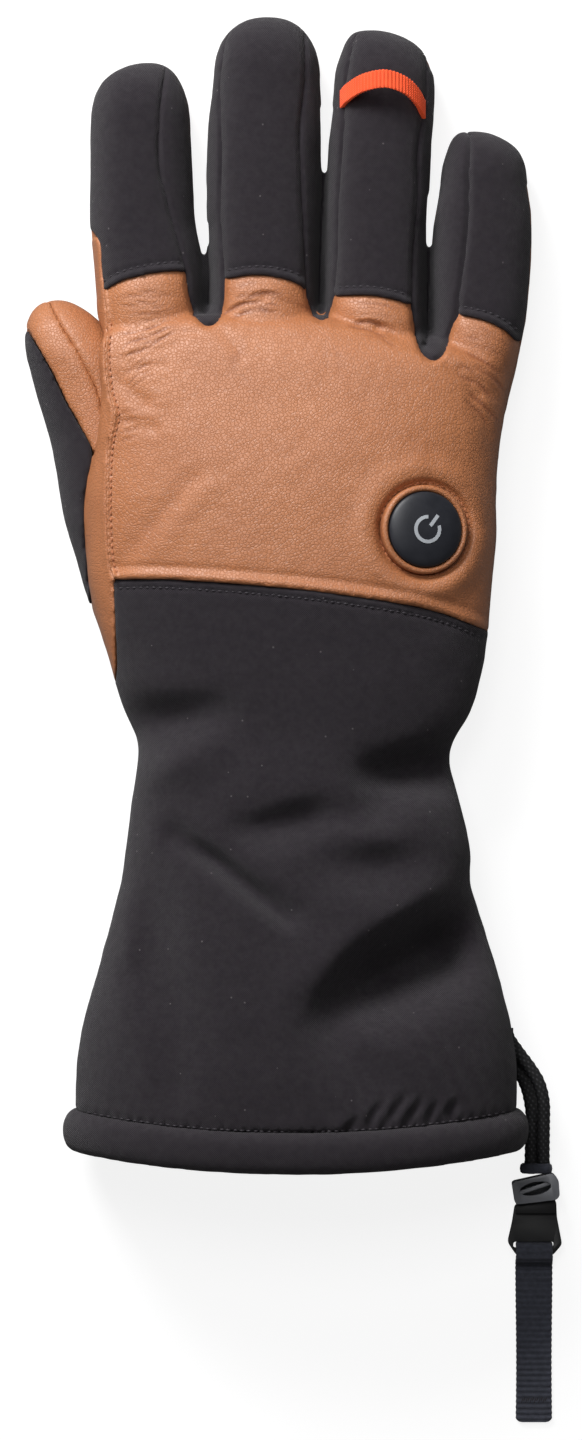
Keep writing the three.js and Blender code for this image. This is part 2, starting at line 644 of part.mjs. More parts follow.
// The button's place: its centre on the surface, and axes that follow the slope there
function surfaceFrame(x, y) {
  const reach = 6;
  const slopeX = (topOfGlove(x + reach, y) - topOfGlove(x - reach, y)) / (2 * reach);
  const slopeY = (topOfGlove(x, y + reach) - topOfGlove(x, y - reach)) / (2 * reach);
  const normal = new THREE.Vector3(-slopeX, -slopeY, 1).normalize();
  return { origin: new THREE.Vector3(x, y, topOfGlove(x, y)), normal };
}
const buttonPlace = surfaceFrame(BUTTON_X, BUTTON_Y);
const buttonGroup = new THREE.Group();
buttonGroup.position.copy(buttonPlace.origin);
buttonGroup.quaternion.setFromUnitVectors(new THREE.Vector3(0, 0, 1), buttonPlace.normal);
buttonGroup.updateMatrixWorld();

const turned = (profile, segments) => {
  const geometry = new THREE.LatheGeometry(profile.map(([r, z]) => new THREE.Vector2(r, z)), segments);
  return geometry.rotateX(Math.PI / 2);
};

const BUTTON_SEGMENTS = 18;
const bezelInner = BUTTON_RADIUS + BUTTON_CLEARANCE;
const HOLE_RADIUS = BEZEL_RADIUS + SEAM_GAP;
const HOLE_REACH = 3 * WALL;
const hole = solidOf(turned([
  [0, -HOLE_REACH], [HOLE_RADIUS, -HOLE_REACH], [HOLE_RADIUS, HOLE_REACH], [0, HOLE_REACH],
], BUTTON_SEGMENTS));
panels.hand_back = panels.hand_back.subtract(hole.transform(buttonGroup.matrixWorld.toArray()));

// Where the button's own pieces start and end, along its axis
const BEZEL_BOTTOM = -WALL;
const BUTTON_BOTTOM = BEZEL_BOTTOM + BUTTON_TRAVEL + 0.6;
const BUTTON_EDGE = 1.2;
const BUTTON_CROWN = 2.6;
const BASE_TOP = BEZEL_BOTTOM - SEAM_GAP;
const BASE_BOTTOM = BASE_TOP - 3;

const bezelGeometry = turned([
  [bezelInner, BEZEL_BOTTOM], [BEZEL_RADIUS, BEZEL_BOTTOM], [BEZEL_RADIUS, BEZEL_RISE * 0.55],
  [BEZEL_RADIUS - 0.5, BEZEL_RISE * 0.9], [(BEZEL_RADIUS + bezelInner) / 2, BEZEL_RISE],
  [bezelInner + 0.4, BEZEL_RISE * 0.85], [bezelInner, BEZEL_RISE * 0.5], [bezelInner, BEZEL_BOTTOM],
], BUTTON_SEGMENTS);

const DOME_STEPS = 4;
const domePoints = Array.from({ length: DOME_STEPS }, (_, i) => {
  const angle = (i / DOME_STEPS) * (Math.PI / 2);
  return [BUTTON_RADIUS * Math.cos(angle), mix(BUTTON_EDGE, BUTTON_CROWN, Math.sin(angle))];
});
const buttonGeometry = turned([
  [0, BUTTON_BOTTOM], [BUTTON_RADIUS, BUTTON_BOTTOM], ...domePoints, [0, BUTTON_CROWN],
], BUTTON_SEGMENTS);
const baseGeometry = turned([
  [0, BASE_BOTTOM], [BEZEL_RADIUS - 0.2, BASE_BOTTOM], [BEZEL_RADIUS - 0.2, BASE_TOP], [0, BASE_TOP],
], BUTTON_SEGMENTS);

// A flat band: its middle line, the way across it, its width at each point and its thickness
function bandGeometry(middle, across, widthAt, thickness) {
  const rings = middle.map((point, i) => {
    const before = middle[Math.max(i - 1, 0)];
    const after = middle[Math.min(i + 1, middle.length - 1)];
    const into = point.clone().sub(before).normalize();
    const onward = after.clone().sub(point).normalize();
    const along = into.clone().add(onward).normalize();
    const straight = Math.max(along.dot(into), along.dot(onward), 0.5);
    const side = across.clone().multiplyScalar(widthAt(i) / 2);
    const lift = across.clone().cross(along).normalize().multiplyScalar(thickness / 2 / straight);
    const at = (a, b) => point.clone().addScaledVector(side, a).addScaledVector(lift, b);
    return [at(-1, -1), at(1, -1), at(1, 1), at(-1, 1)];
  });
  return geometryOf(ringSolid(rings));
}

// The webbing loop that arches over the ring finger
const LOOP_STEPS = 10;
const loopStart = new THREE.Vector2(17.6, 140.2);
const loopEnd = new THREE.Vector2(41.4, 137.2);
const LOOP_BOW = 5.6;
const loopMiddle = Array.from({ length: LOOP_STEPS + 1 }, (_, i) => {
  const t = i / LOOP_STEPS;
  const arch = Math.sin(Math.PI * t) ** 0.8;
  const x = mix(loopStart.x, loopEnd.x, t);
  const y = mix(loopStart.y, loopEnd.y, t) + LOOP_BOW * Math.sin(Math.PI * t);
  const rest = topOfGlove(x, mix(loopStart.y, loopEnd.y, t)) + LOOP_THICKNESS / 2 + 0.7;
  return new THREE.Vector3(x, y, rest + LOOP_RISE * arch);
});
const loopGeometry = bandGeometry(loopMiddle, new THREE.Vector3(0, -1, 0), () => LOOP_WIDTH, LOOP_THICKNESS);

// The drawcord: two runs from the tab on the cuff's side down to the lock
const OUTER_RUN = [[64.8, -125.0, 10.9], [65.4, -127.7, 11], [68.2, -131.8, 11.6], [71.6, -136.4, 12],
  [74, -140.6, 12], [75.3, -146, 11.2], [75.4, -152.5, 9.4], [75.4, -159.5, 7], [75.5, -165.4, 5.2]];
const INNER_RUN = [[63.7, -125.1, 6.8], [64.3, -127.9, 6.9], [66.2, -132.2, 7.4], [68.6, -137.2, 8],
  [70.8, -142.4, 8.2], [71.8, -148.6, 7.8], [71.7, -154.6, 7], [71.4, -160.6, 6], [71.3, -166.5, 5.2]];
const LOCK_SHAPE = [[66.4, -169.0], [78.1, -166.4], [79.8, -168.3], [80.1, -172.9], [79.2, -174.0],
  [67.4, -175.4]];
const LOCK_WINDOW = { x: 73.1, y: -170.8, long: 4.6, short: 1.9, turn: 0.2 };
const PLATE_SHAPE = [[67.4, -175.7], [79.2, -174.3], [79.4, -179.1], [80.9, -187.0], [78.2, -190.2],
  [67.8, -190.2], [65.3, -186.5], [66.6, -180.8]];
const SLOT = { left: 67.2, right: 78.6, top: -186.0, bottom: -188.4 };
const TAB = { x: 72.9, width: 10.4, end: -236.7, radius: 1.6 };
const PLATE_END_Y = -190.2;

function cordGeometry(points) {
  const curve = new THREE.CatmullRomCurve3(points.map((p) => new THREE.Vector3(...p)));
  const ring = Array.from({ length: CORD_SIDES }, (_, i) => {
    const angle = (i / CORD_SIDES) * 2 * Math.PI;
    return new THREE.Vector2(Math.cos(angle), Math.sin(angle)).multiplyScalar(CORD_DIAMETER / 2);
  });
  return new THREE.ExtrudeGeometry(new THREE.Shape(ring), { extrudePath: curve, steps: CORD_STEPS });
}

const outlineShape = (points) => new THREE.Shape(points.map(([x, y]) => new THREE.Vector2(x, y)));

function plate(shape, thickness, z) {
  const options = { depth: thickness, bevelEnabled: false, curveSegments: 6 };
  return new THREE.ExtrudeGeometry(shape, options).translate(0, 0, z);
}

const lockBlockShape = outlineShape(LOCK_SHAPE);
const windowPath = new THREE.Path();
windowPath.absellipse(LOCK_WINDOW.x, LOCK_WINDOW.y, LOCK_WINDOW.long, LOCK_WINDOW.short, 0, 2 * Math.PI, false,
  LOCK_WINDOW.turn);
lockBlockShape.holes.push(windowPath);
const lockPlateShape = outlineShape(PLATE_SHAPE);
const slotPath = new THREE.Path([
  new THREE.Vector2(SLOT.left, SLOT.bottom), new THREE.Vector2(SLOT.right, SLOT.bottom),
  new THREE.Vector2(SLOT.right, SLOT.top), new THREE.Vector2(SLOT.left, SLOT.top),
]);
lockPlateShape.holes.push(slotPath);
const lockNeck = outlineShape([[67.6, -174.4], [79, -173.4], [79, -176.4], [67.6, -177.6]]);
const lockSolid = solidOf(plate(lockBlockShape, LOCK_THICKNESS, 0))
  .add(solidOf(plate(lockPlateShape, PLATE_THICKNESS, 0)))
  .add(solidOf(plate(lockNeck, PLATE_THICKNESS, 0)));

// The pull: up through the slot, over the bar below it, and down onto the surface
const barTop = PLATE_THICKNESS + SEAM_GAP + TAB_THICKNESS / 2;
const slotMiddle = (SLOT.top + SLOT.bottom) / 2;
const barFar = PLATE_END_Y - SEAM_GAP - TAB_THICKNESS / 2;
const tabPath = [
  [slotMiddle, 0.4], [slotMiddle, barTop - 0.9], [slotMiddle - 0.9, barTop], [barFar + 0.9, barTop],
  [barFar, barTop - 0.9], [barFar - 0.7, TAB_THICKNESS + 1.2], [barFar - 2.4, TAB_THICKNESS / 2],
  [TAB.end + TAB.radius, TAB_THICKNESS / 2], [TAB.end + TAB.radius * 0.3, TAB_THICKNESS / 2],
  [TAB.end, TAB_THICKNESS / 2],
];
const tabMiddle = tabPath.map(([y, z]) => new THREE.Vector3(TAB.x, y, z));
const tabWidthAt = (i) => TAB.width - [0, 0.3, 1][clamp(i - tabPath.length + 3, 0, 2)] * 2 * TAB.radius;
const tabGeometry = bandGeometry(tabMiddle, new THREE.Vector3(-1, 0, 0), tabWidthAt, TAB_THICKNESS);

// The plain tab that holds both runs, flat against the cuff's side and low on it
const CORD_TAB = { y: -121.6, z: 9.5, thickness: 3.6, length: 7, height: 9 };
function sideWall(y, z) {
  const levels = Array.from({ length: HAND_SIDES.floor / 2 + 1 }, (_, i) => (
    sectionPoint(HAND, y, -i * Math.PI / HAND_SIDES.floor, 0)
  ));
  const k = levels.findIndex((level) => level.z <= z);
  return mix(levels[k].x, levels[k - 1].x, (z - levels[k].z) / (levels[k - 1].z - levels[k].z));
}
function cordTab() {
  const { y, z, thickness, length, height } = CORD_TAB;
  const reach = 3;
  const flare = (sideWall(y + reach, z) - sideWall(y - reach, z)) / (2 * reach);
  const lean = (sideWall(y, z + reach) - sideWall(y, z - reach)) / (2 * reach);
  const out = new THREE.Vector3(1, -flare, -lean).normalize();
  const tab = piece('cord_tab', new THREE.BoxGeometry(thickness, length, height));
  tab.quaternion.setFromUnitVectors(new THREE.Vector3(1, 0, 0), out);
  tab.position.set(sideWall(y, z), y, z).addScaledVector(out, 0.4 + thickness / 2);
  return tab;
}

// Materials, one for each piece
const LEATHER = { color: 0xc3855a, roughness: 0.55, metalness: 0 };
const SOFTSHELL = { color: 0x35302f, roughness: 0.85, metalness: 0 };
const WEBBING = { color: 0x2b2c33, roughness: 0.8, metalness: 0 };
const FINISHES = {
  index_back: SOFTSHELL, middle_back: SOFTSHELL, ring_back: SOFTSHELL, little_back: SOFTSHELL,
  index_middle_gusset: SOFTSHELL, middle_ring_gusset: SOFTSHELL, ring_little_gusset: SOFTSHELL,
  hand_back: LEATHER, palm: LEATHER, thumb_top: LEATHER, thumb_inner: LEATHER, thumb_back: SOFTSHELL,
  gauntlet_back: SOFTSHELL, gauntlet_front: SOFTSHELL, hem: SOFTSHELL,
  button_bezel: { color: 0xb97b50, roughness: 0.55, metalness: 0 },
  power_button: { color: 0x1e2028, roughness: 0.5, metalness: 0 },
  button_base: { color: 0x17181c, roughness: 0.6, metalness: 0 },
  finger_loop: { color: 0xff5a1e, roughness: 0.75, metalness: 0 },
  cord_tab: WEBBING,
  drawcord_outer: { color: 0x3a3b40, roughness: 0.8, metalness: 0 },
  drawcord_inner: { color: 0x3a3b40, roughness: 0.8, metalness: 0 },
  cord_lock: { color: 0x4b4e55, roughness: 0.5, metalness: 0 },
  pull_tab: WEBBING,
};

function piece(name, geometry) {
  const mesh = new THREE.Mesh(geometry, new THREE.MeshStandardMaterial(FINISHES[name]));
  mesh.name = name;
  return mesh;
}

const glove = new THREE.Group();
for (const [name, solid] of Object.entries(panels)) glove.add(piece(name, geometryOf(solid)));
buttonGroup.add(piece('button_bezel', bezelGeometry));
buttonGroup.add(piece('power_button', buttonGeometry));
buttonGroup.add(piece('button_base', baseGeometry));
glove.add(buttonGroup);
glove.add(piece('finger_loop', loopGeometry));
glove.add(cordTab());
glove.add(piece('drawcord_outer', cordGeometry(OUTER_RUN)));
glove.add(piece('drawcord_inner', cordGeometry(INNER_RUN)));
glove.add(piece('cord_lock', geometryOf(lockSolid)));
glove.add(piece('pull_tab', tabGeometry));

export default glove;
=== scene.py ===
"""Looks of a right-hand heated glove, lying on its palm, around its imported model."""

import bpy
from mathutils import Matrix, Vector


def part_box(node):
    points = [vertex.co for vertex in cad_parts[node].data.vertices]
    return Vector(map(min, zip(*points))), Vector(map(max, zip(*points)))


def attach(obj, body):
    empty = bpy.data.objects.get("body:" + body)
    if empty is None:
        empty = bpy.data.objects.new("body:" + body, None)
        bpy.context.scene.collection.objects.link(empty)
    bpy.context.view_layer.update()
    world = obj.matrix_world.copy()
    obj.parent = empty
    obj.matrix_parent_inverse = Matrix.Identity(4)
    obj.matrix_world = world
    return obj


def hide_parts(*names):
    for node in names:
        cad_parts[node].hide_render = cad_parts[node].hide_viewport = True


bl_info = {
    "name": "Heated glove",
    "version": (1, 0, 0),
    "blender": (4, 5, 0),
    "location": "3D View > Sidebar > Glove",
    "description": "Builds the skin, seams, cord and finishes of a gauntlet glove",
    "category": "Add Mesh",
}

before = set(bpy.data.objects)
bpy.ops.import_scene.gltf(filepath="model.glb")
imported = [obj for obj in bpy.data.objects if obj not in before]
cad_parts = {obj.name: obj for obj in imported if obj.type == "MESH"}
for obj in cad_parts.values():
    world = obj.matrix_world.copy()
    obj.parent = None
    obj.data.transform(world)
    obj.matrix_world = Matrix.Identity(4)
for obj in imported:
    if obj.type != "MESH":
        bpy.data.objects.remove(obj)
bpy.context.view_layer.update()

import itertools
import math

import bmesh
import bpy
import numpy as np
from bpy.props import FloatProperty, FloatVectorProperty, PointerProperty
from mathutils import Vector
from mathutils.bvhtree import BVHTree

MM = 0.001

# Sizes in millimetres: the walls and their seams
WALL = 3.0
SEAM_OVERLAP = 0.25
FINGER_SEAM_Z = 10.0
SIDE_SEAM_Z = 19.0
THUMB_SEAM_Z = 8.0
LITTLE_STRIP_Z = 15.5
THUMB_CROTCH_Y = 39.0
THUMB_CLEARANCE = 0.6
SEAM_LEAN = 0.55
SEAM_REACH_OUT = 1.5
SEAM_REACH_IN = 4.6
SEAM_STEP = 1.6
BEYOND = 200.0

# The cross-sections
TOP_POWER = 2.4
FLOOR_POWER = 3.6
FLOOR_OVERSHOOT = 1.08
FINGER_EDGE = 0.45
ROW_BLUR = 2.5

# The cuff's mouth and its rolled hem
CUFF_END_Y = -147.85
CUFF_SAG = 5.3
CUFF_SAG_START_Y = -115.0
HEM_END_Y = -159.0
HEM_BULGE = 3.4
CUFF_MIDDLE_X = 4.3
CUFF_HALF_WIDTH = 63.0
PLEAT_PITCH = 3.2

# The button, the webbing and the drawcord
BUTTON_X = 40.9
BUTTON_Y = 17.2
DOME_RADIUS = 10.7
DOME_EDGE_Z = 0.8
DOME_CROWN_Z = 3.0
DOME_POWER = 0.9
MARK_TURN = math.radians(-38)
MARK_RADII = (3.0, 4.0)
MARK_BAR = {"first": 1.2, "last": 5.0, "half": 0.5}
MARK_LIFT = 0.06
BEZEL_RADIUS = 12.8
LOOP_WIDTH = 5.2
LOOP_THICKNESS = 1.3
LOOP_RISE = 5.6
LOOP_PLAN = [
    [17.6, 140.1], [19.2, 141.6], [23.6, 144.0], [29.8, 145.1], [35.1, 143.5], [38.6, 140.7],
    [40.9, 137.2],
]
CORD_DIAMETER = 3.8
BRAID_PITCH = 3.4
BRAID_YARNS = 8
BRAID_SLANT = 1.6
KEEPER = {"x": 73.4, "z": 5.4, "half_width": 4.6, "half_height": 3.0}
LOCK_THICKNESS = 9.0
PLATE_THICKNESS = 5.0
TAB_THICKNESS = 1.6

# How fine each skin is, as a share of the skin step; the backs and gussets have the last value
SKIN_STEPS = {
    "hand_back": 0.59, "palm": 1.15, "thumb_back": 1.0, "thumb_top": 1.0, "thumb_inner": 1.0,
    "gauntlet_back": 0.85, "gauntlet_front": 1.3, "hem": 1.1,
}
FINGER_STEP = 0.68

# The camera stands straight above the glove with a long lens, as in the photograph
PHOTO_WIDTH = 582
PHOTO_HEIGHT = 1440
MM_PER_PIXEL = 0.285
PHOTO_ZERO = (280.0, 591.5)
CAMERA_HEIGHT = 2.4
SILHOUETTE_Z = 0.02
FLOOR_GLOW = 0.86
SKY_STRENGTH = 0.085


def table(columns, rows):
    """A table of sizes as one array for each named column"""
    values = np.array(rows, dtype=float).T
    return dict(zip(columns.split(), values))


HAND = {
    "tip": {"x": -4, "y": 79, "length": 8, "power": 2.3, "skew": 5},
    "rows": table("y left right crown left_edge right_edge", [
        [-164, -58.7, 67.4, 57, 24, 24],
        [-134, -57.9, 67.4, 56.5, 24, 24],
        [-122, -55.9, 65.6, 55, 24, 24],
        [-105, -51.0, 61.0, 52, 23, 23],
        [-88, -46.5, 55.7, 49, 23, 23],
        [-82, -45.0, 53.6, 48, 22, 22],
        [-77, -44.3, 54.4, 47, 22, 22],
        [-71, -43.6, 53.9, 46, 22, 22],
        [-59.5, -42.2, 51.0, 44, 21, 21],
        [-48, -40.4, 47.9, 42.5, 20, 20],
        [-42.5, -40.2, 49.0, 42, 20, 20],
        [-37, -43.0, 53.0, 42, 20, 20],
        [-31, -45.6, 55.6, 42.5, 20, 20],
        [-19.5, -48.6, 58.4, 43, 20, 20],
        [-8, -52.4, 59.6, 43.5, 20, 20],
        [3, -54.8, 60.5, 44, 20, 20],
        [15, -55.4, 61.8, 44, 21, 19],
        [27, -55.5, 61.6, 43.5, 22, 19],
        [38, -53.4, 62.2, 42.5, 24, 18],
        [47, -51.4, 63.5, 41, 28, 18],
        [57, -50.8, 65.2, 39, 29, 17],
        [66, -51.6, 66.5, 37, 28, 17],
        [70, -51.5, 55.0, 35.5, 28, 18],
        [73, -50.0, 42.0, 34, 27, 18],
    ]),
}

FINGER_COLUMNS = "y left right crown"
INDEX = {
    "tip": {"x": -37.6, "y": 151.2, "length": 18, "power": 2.3, "skew": 5},
    "rows": table(FINGER_COLUMNS, [
        [58, -50.0, -22.5, 26],
        [76, -52.1, -21.7, 31],
        [88, -52.7, -21.8, 30],
        [97, -53.5, -22.6, 29],
        [105, -54.4, -24.3, 28.5],
        [133, -54.1, -25.7, 28],
    ]),
}
MIDDLE = {
    "tip": {"x": -3.4, "y": 164.3, "length": 18, "power": 2.3, "skew": 5},
    "rows": table(FINGER_COLUMNS, [
        [58, -20.0, 11.0, 27],
        [77, -20.9, 11.3, 31.5],
        [88, -20.9, 11.6, 30],
        [105, -20.9, 12.1, 29.5],
        [121, -21.1, 12.2, 29],
        [134, -20.5, 12.1, 28.5],
        [146, -19.0, 11.4, 28],
    ]),
}
RING = {
    "tip": {"x": 25.4, "y": 160.6, "length": 18, "power": 2.3, "skew": 5},
    "rows": table(FINGER_COLUMNS, [
        [52, 13.0, 43.0, 27],
        [66, 12.0, 43.3, 31],
        [78, 12.2, 42.8, 30.5],
        [88, 12.6, 42.3, 29.5],
        [105, 12.8, 42.1, 29],
        [122, 12.9, 43.0, 28.5],
        [130, 13.7, 43.5, 28],
        [142, 15.4, 44.2, 27.5],
    ]),
}
LITTLE = {
    "tip": {"x": 54.7, "y": 131.8, "length": 16, "power": 2.3, "skew": 5},
    "rows": table(FINGER_COLUMNS, [
        [52, 45.0, 64.5, 25],
        [66, 44.1, 68.0, 29],
        [78, 43.4, 70.4, 28],
        [92, 42.9, 71.6, 27],
        [102, 43.1, 72.1, 26.5],
        [110, 43.9, 71.7, 26],
        [115, 46.0, 70.7, 25.5],
    ]),
}
THUMB = {
    "tip": {"x": -64.1, "y": 83.6, "length": 20, "power": 2, "skew": 1},
    "rows": table(FINGER_COLUMNS, [
        [-25, -46.5, -27.0, 20],
        [-14, -50.4, -26.0, 24],
        [-2, -54.7, -26.0, 26],
        [9, -58.1, -28.0, 27],
        [20, -61.6, -31.0, 27.5],
        [32, -63.6, -34.0, 27],
        [43, -65.5, -37.0, 26],
        [55, -69.3, -40.0, 25.5],
        [63, -71.5, -43.0, 25.5],
    ]),
}
LONG_FINGERS = (INDEX, MIDDLE, RING, LITTLE)
for finger in (*LONG_FINGERS, THUMB):
    finger["rows"]["left_edge"] = FINGER_EDGE * finger["rows"]["crown"]
    finger["rows"]["right_edge"] = FINGER_EDGE * finger["rows"]["crown"]

# Seams on the top, as points on the surface
INDEX_RIGHT = [
    [-32.5, 149], [-34.2, 134.1], [-34.1, 120.4], [-32.5, 113], [-30.4, 104.5], [-26.8, 91.3],
    [-26.3, 86.5], [-24.8, 80.2], [-23.2, 77.1], [-20.8, 75.2],
]
MIDDLE_LEFT = [
    [-19.1, 75.4], [-17.4, 77.1], [-16.1, 81.9], [-15.8, 88.8], [-16.8, 106.7], [-16.6, 125.3],
    [-17.1, 143.8], [-15.8, 156.3],
]
MIDDLE_RIGHT = [
    [7, 158.9], [7.1, 145.8], [5.7, 132.5], [5.7, 123.5], [6.5, 104.2], [7.4, 85.9], [8, 82.5],
    [9.7, 78.5], [11.4, 76.9],
]
RING_LEFT = [
    [13, 77.3], [14.4, 80.5], [15.3, 84.1], [16.2, 95], [16.4, 106.2], [17.1, 118], [18.1, 129.8],
    [18.5, 142.2], [20.9, 157.5],
]
RING_RIGHT = [
    [41, 154.7], [41.7, 147.8], [41, 138.8], [39.1, 125.6], [39.1, 113.1], [38.2, 102], [37.6, 92.3],
    [37.5, 81.1], [38.2, 75.5], [39, 71.2], [40.4, 67.5], [42.7, 65.4],
]
LITTLE_LEFT = [
    [44.6, 65.6], [45.9, 66.8], [47.3, 70.1], [48.7, 74.8], [50.4, 78.8], [50.9, 83.4], [52.1, 92.3],
    [53.5, 106.2], [53.7, 120.1], [54.3, 131.8],
]
WELT = [
    [-54.4, 103.9], [-51.4, 99], [-51, 92.8], [-50.2, 85.4], [-49.3, 76.1], [-49.8, 67], [-48.9, 57],
    [-47, 50], [-48.2, 44], [-49, 37.9], [-49.3, 24], [-48.7, 9.3], [-47, 3.3],
]
TONGUE = [[-47, 3.3], [-46.4, -9.4], [-46, -22]]
INDEX_EDGE = [[-50.2, 85.4], [-45.2, 88.2], [-36.5, 90.4], [-26.8, 91.3]]
MIDDLE_EDGE = [[-15.8, 88.8], [-5.5, 89.9], [3.6, 88.2], [7.4, 85.9]]
RING_EDGE = [[15.3, 84.1], [25.7, 84.1], [32.7, 82.8], [37.5, 81.1]]
LITTLE_EDGE = [[50.4, 78.8], [58.2, 77.1], [61.8, 75.5], [64.7, 73.7], [68, 70.4]]
BACK_EDGES = (INDEX_EDGE, MIDDLE_EDGE, RING_EDGE, LITTLE_EDGE)
CUFF_SEAM = [
    [-47, 3.3], [-34.2, 3.4], [-17.1, 2.4], [0, 1], [17.1, -1], [34.2, -3.6], [45.6, -6.1],
    [59, -11], [80, -20],
]
THUMB_BLACK = [
    [-72.8, 75.4], [-68.7, 68.5], [-65, 62], [-61.7, 55], [-58.1, 48.4], [-53.6, 39.6], [-55, 31.5],
    [-55.8, 24], [-55.4, 13], [-54.6, 4], [-53.8, -3], [-53.6, -9],
]
THUMB_PANEL = [
    [-65.3, 83.1], [-64.2, 80.1], [-61.7, 75.4], [-58.4, 70], [-55.1, 64.1], [-52.2, 58.3],
    [-50, 51], [-48.5, 45],
]

SIDE_SEAMS = (
    INDEX_RIGHT + MIDDLE_LEFT, MIDDLE_RIGHT + RING_LEFT, RING_RIGHT + LITTLE_LEFT,
)

# Folds and creases of the top: each is pressed in, or raised, along a line
FOLDS = table("x0 y0 x1 y1 width rise", [
    # the wrist and the cuff
    [-38.5, -36.6, -20, -34.6, 7, -1.4],
    [-40, -53, -20, -42, 6, 2.6],
    [27, -52, 46, -49.5, 7, -5],
    [-10, -66.5, 28, -62, 4.5, -2.5],
    [-4, -75, 30, -70, 6, 1.5],
    [-29, -69.4, 3.4, -92, 3.6, -3.4],
    [8, -111, 42, -90, 9, 2],
    [14, -118, 46, -103, 7, -5],
    [46, -103, 57, -86, 7, -3],
    [-41, -109, -29, -136, 5, -2],
    # the back of the hand
    [-46, 7, -25, 31, 3.2, -0.5],
    [-41, 5, -20, 29, 3.6, 0.32],
    [-45, 59, -38, 53, 2.2, -0.54],
    [-45, 48, -36, 46, 2.0, -0.41],
    [-44, 66, -28, 70, 1.5, -0.25],
    [-46, 71, -24, 73.5, 1.4, -0.23],
    [-45, 62, -33, 64, 1.5, -0.27],
    [-47, 76.5, -27, 79, 1.4, -0.2],
    [-14.8, 78.8, -4.3, 83.4, 1.3, -0.36],
    [-4.3, 83.4, 8.6, 79.7, 1.3, -0.36],
    [-16.5, 73.7, -10.3, 66.3, 1.8, -0.32],
    [16, 76.8, 28, 74.5, 1.5, -0.5],
    [28, 74.5, 39.9, 68.8, 1.7, -0.59],
    [18, 80, 36, 76.5, 2.4, 0.32],
    [47.6, 64.3, 56.1, 55.4, 1.8, -0.45],
    [51.3, 62.6, 62.7, 54.6, 1.6, -0.41],
    [54.2, 54.6, 60.5, 40.3, 2.0, -0.45],
    [50, 70, 62, 66, 1.6, -0.23],
])

# How many of the folds belong to the cuff
CUFF_FOLDS = 10

# Laps of the cuff: the fabric dives along each line, on the side given, and comes back slowly.
# Each has its line, its side, its depth, how wide the dive is and how far the way back is
LAPS = [
    ([[6, -130], [18.6, -107], [34.8, -95.6], [64, -78]], -1, 14.0, 18, 18),
    ([[54, -42], [37, -46.2], [18, -53.0]], 1, 6.8, 11, 12),
    ([[-52, -26.0], [-33, -31.5], [-8, -29.5]], -1, 3.0, 12, 10),
    ([[-18, -70], [0, -63.5], [18, -56]], -1, 3.6, 10, 9),
    ([[2, -66], [22, -73], [44, -73]], -1, 3.0, 10, 9),
    ([[-41.3, -70], [-40.5, -92.2], [-39.3, -106.2], [-34.2, -120.7], [-24, -142]], 1, 3.8, 10, 9),
    ([[12, -113], [22, -128], [40, -138]], -1, 2.6, 9, 10),
]
# Soft swells and hollows of the cuff: the centre, the half sizes and the rise
SWELLS = [
    ((-29, -36), (11, 5), -1.6), ((-29, -49), (9, 6), 1.2), ((0, -52), (18, 8), 0.8),
    ((36, -60), (14, 6), 1.6), ((-10, -100), (16, 20), 0.8), ((36, -76), (14, 5), -1.0),
    ((44, -104), (10, 12), -2.0), ((22, -88), (12, 7), 1.2), ((-34, -112), (8, 20), 0.8),
]
# The diagonal crease of the cuff
DIAGONAL = [[-31, -69], [-20, -75], [-10.5, -82.5], [-2, -90], [5, -97]]
# Short gathers at the right above the hem
GATHERS = [
    [[22.4, -153.5], [30.5, -142]], [[27.3, -153.5], [37.1, -140]], [[33.3, -152.4], [41.8, -141.5]],
    [[40.4, -151], [45, -143]], [[17, -154], [23.5, -147]], [[46, -150], [50.5, -142.5]],
]

# The dark line down each strip between two fingers, where they touch
VALLEYS = [
    [[-20.9, 103], [-20.6, 95], [-20.2, 90.5], [-20.5, 82.4]],
    [[12.6, 124], [12.3, 117], [11.4, 97.3], [11.1, 82.5]],
    [[42.7, 103], [42.5, 95], [41.9, 74.5], [41.4, 70]],
]

# The gaps that stay open between fingers that nearly touch
SLITS = [
    [
        [11.8, 119.6], [11.6, 127], [11.6, 132], [11.4, 139], [15.4, 139], [14.4, 132], [13.9, 127],
        [13.4, 119.6],
    ],
    [[41.8, 98.4], [41.7, 105], [42.1, 114], [45.6, 114], [44.0, 105], [43.4, 98.4]],
    [[-21.8, 98.8], [-23.4, 106], [-20.4, 106], [-20.2, 98.8]],
]

# Fans of fine wrinkles in the leather: they run from the first line to the second.
# Each has both lines, how many wrinkles, how far they bow, their width and their depth
FANS = [
    ([[-49.5, 88], [-48, 66]], [[-24, 86], [-27, 75]], 20, -1.5, 0.45, 0.2),
    ([[-47, 68], [-44, 55]], [[-31, 77], [-34, 62]], 11, 1.0, 0.45, 0.17),
    ([[-48, 50], [-47, 40]], [[-38, 52], [-37, 44]], 6, 0.6, 0.5, 0.12),
    ([[-19, 78.5], [-18.5, 73]], [[8.8, 81], [4, 75]], 6, 4.6, 0.5, 0.3),
    ([[-15, 86.5], [-15, 81]], [[-2, 87], [-4, 84.5]], 4, 0.8, 0.5, 0.14),
    ([[13.6, 78.6], [14, 74]], [[40, 71.5], [36, 66.5]], 5, 1.8, 0.55, 0.34),
    ([[17, 82.6], [17, 79]], [[35, 80.6], [36, 76]], 4, 0.8, 0.5, 0.16),
    ([[47.5, 70.5], [48, 58]], [[67, 60], [62, 42]], 11, 1.5, 0.55, 0.24),
    ([[52, 76], [50, 71]], [[66, 71], [67, 63]], 5, 0.6, 0.5, 0.18),
    ([[-13, 71], [-9, 74]], [[-19, 58], [-12, 60]], 3, 0.5, 1.2, 0.06),
    ([[12, 72], [18, 71]], [[14, 56], [21, 57]], 3, -0.6, 1.2, 0.06),
    ([[-46, 9], [-42, 5]], [[-24, 31], [-18, 25]], 3, 0.8, 2.2, 0.1),
]

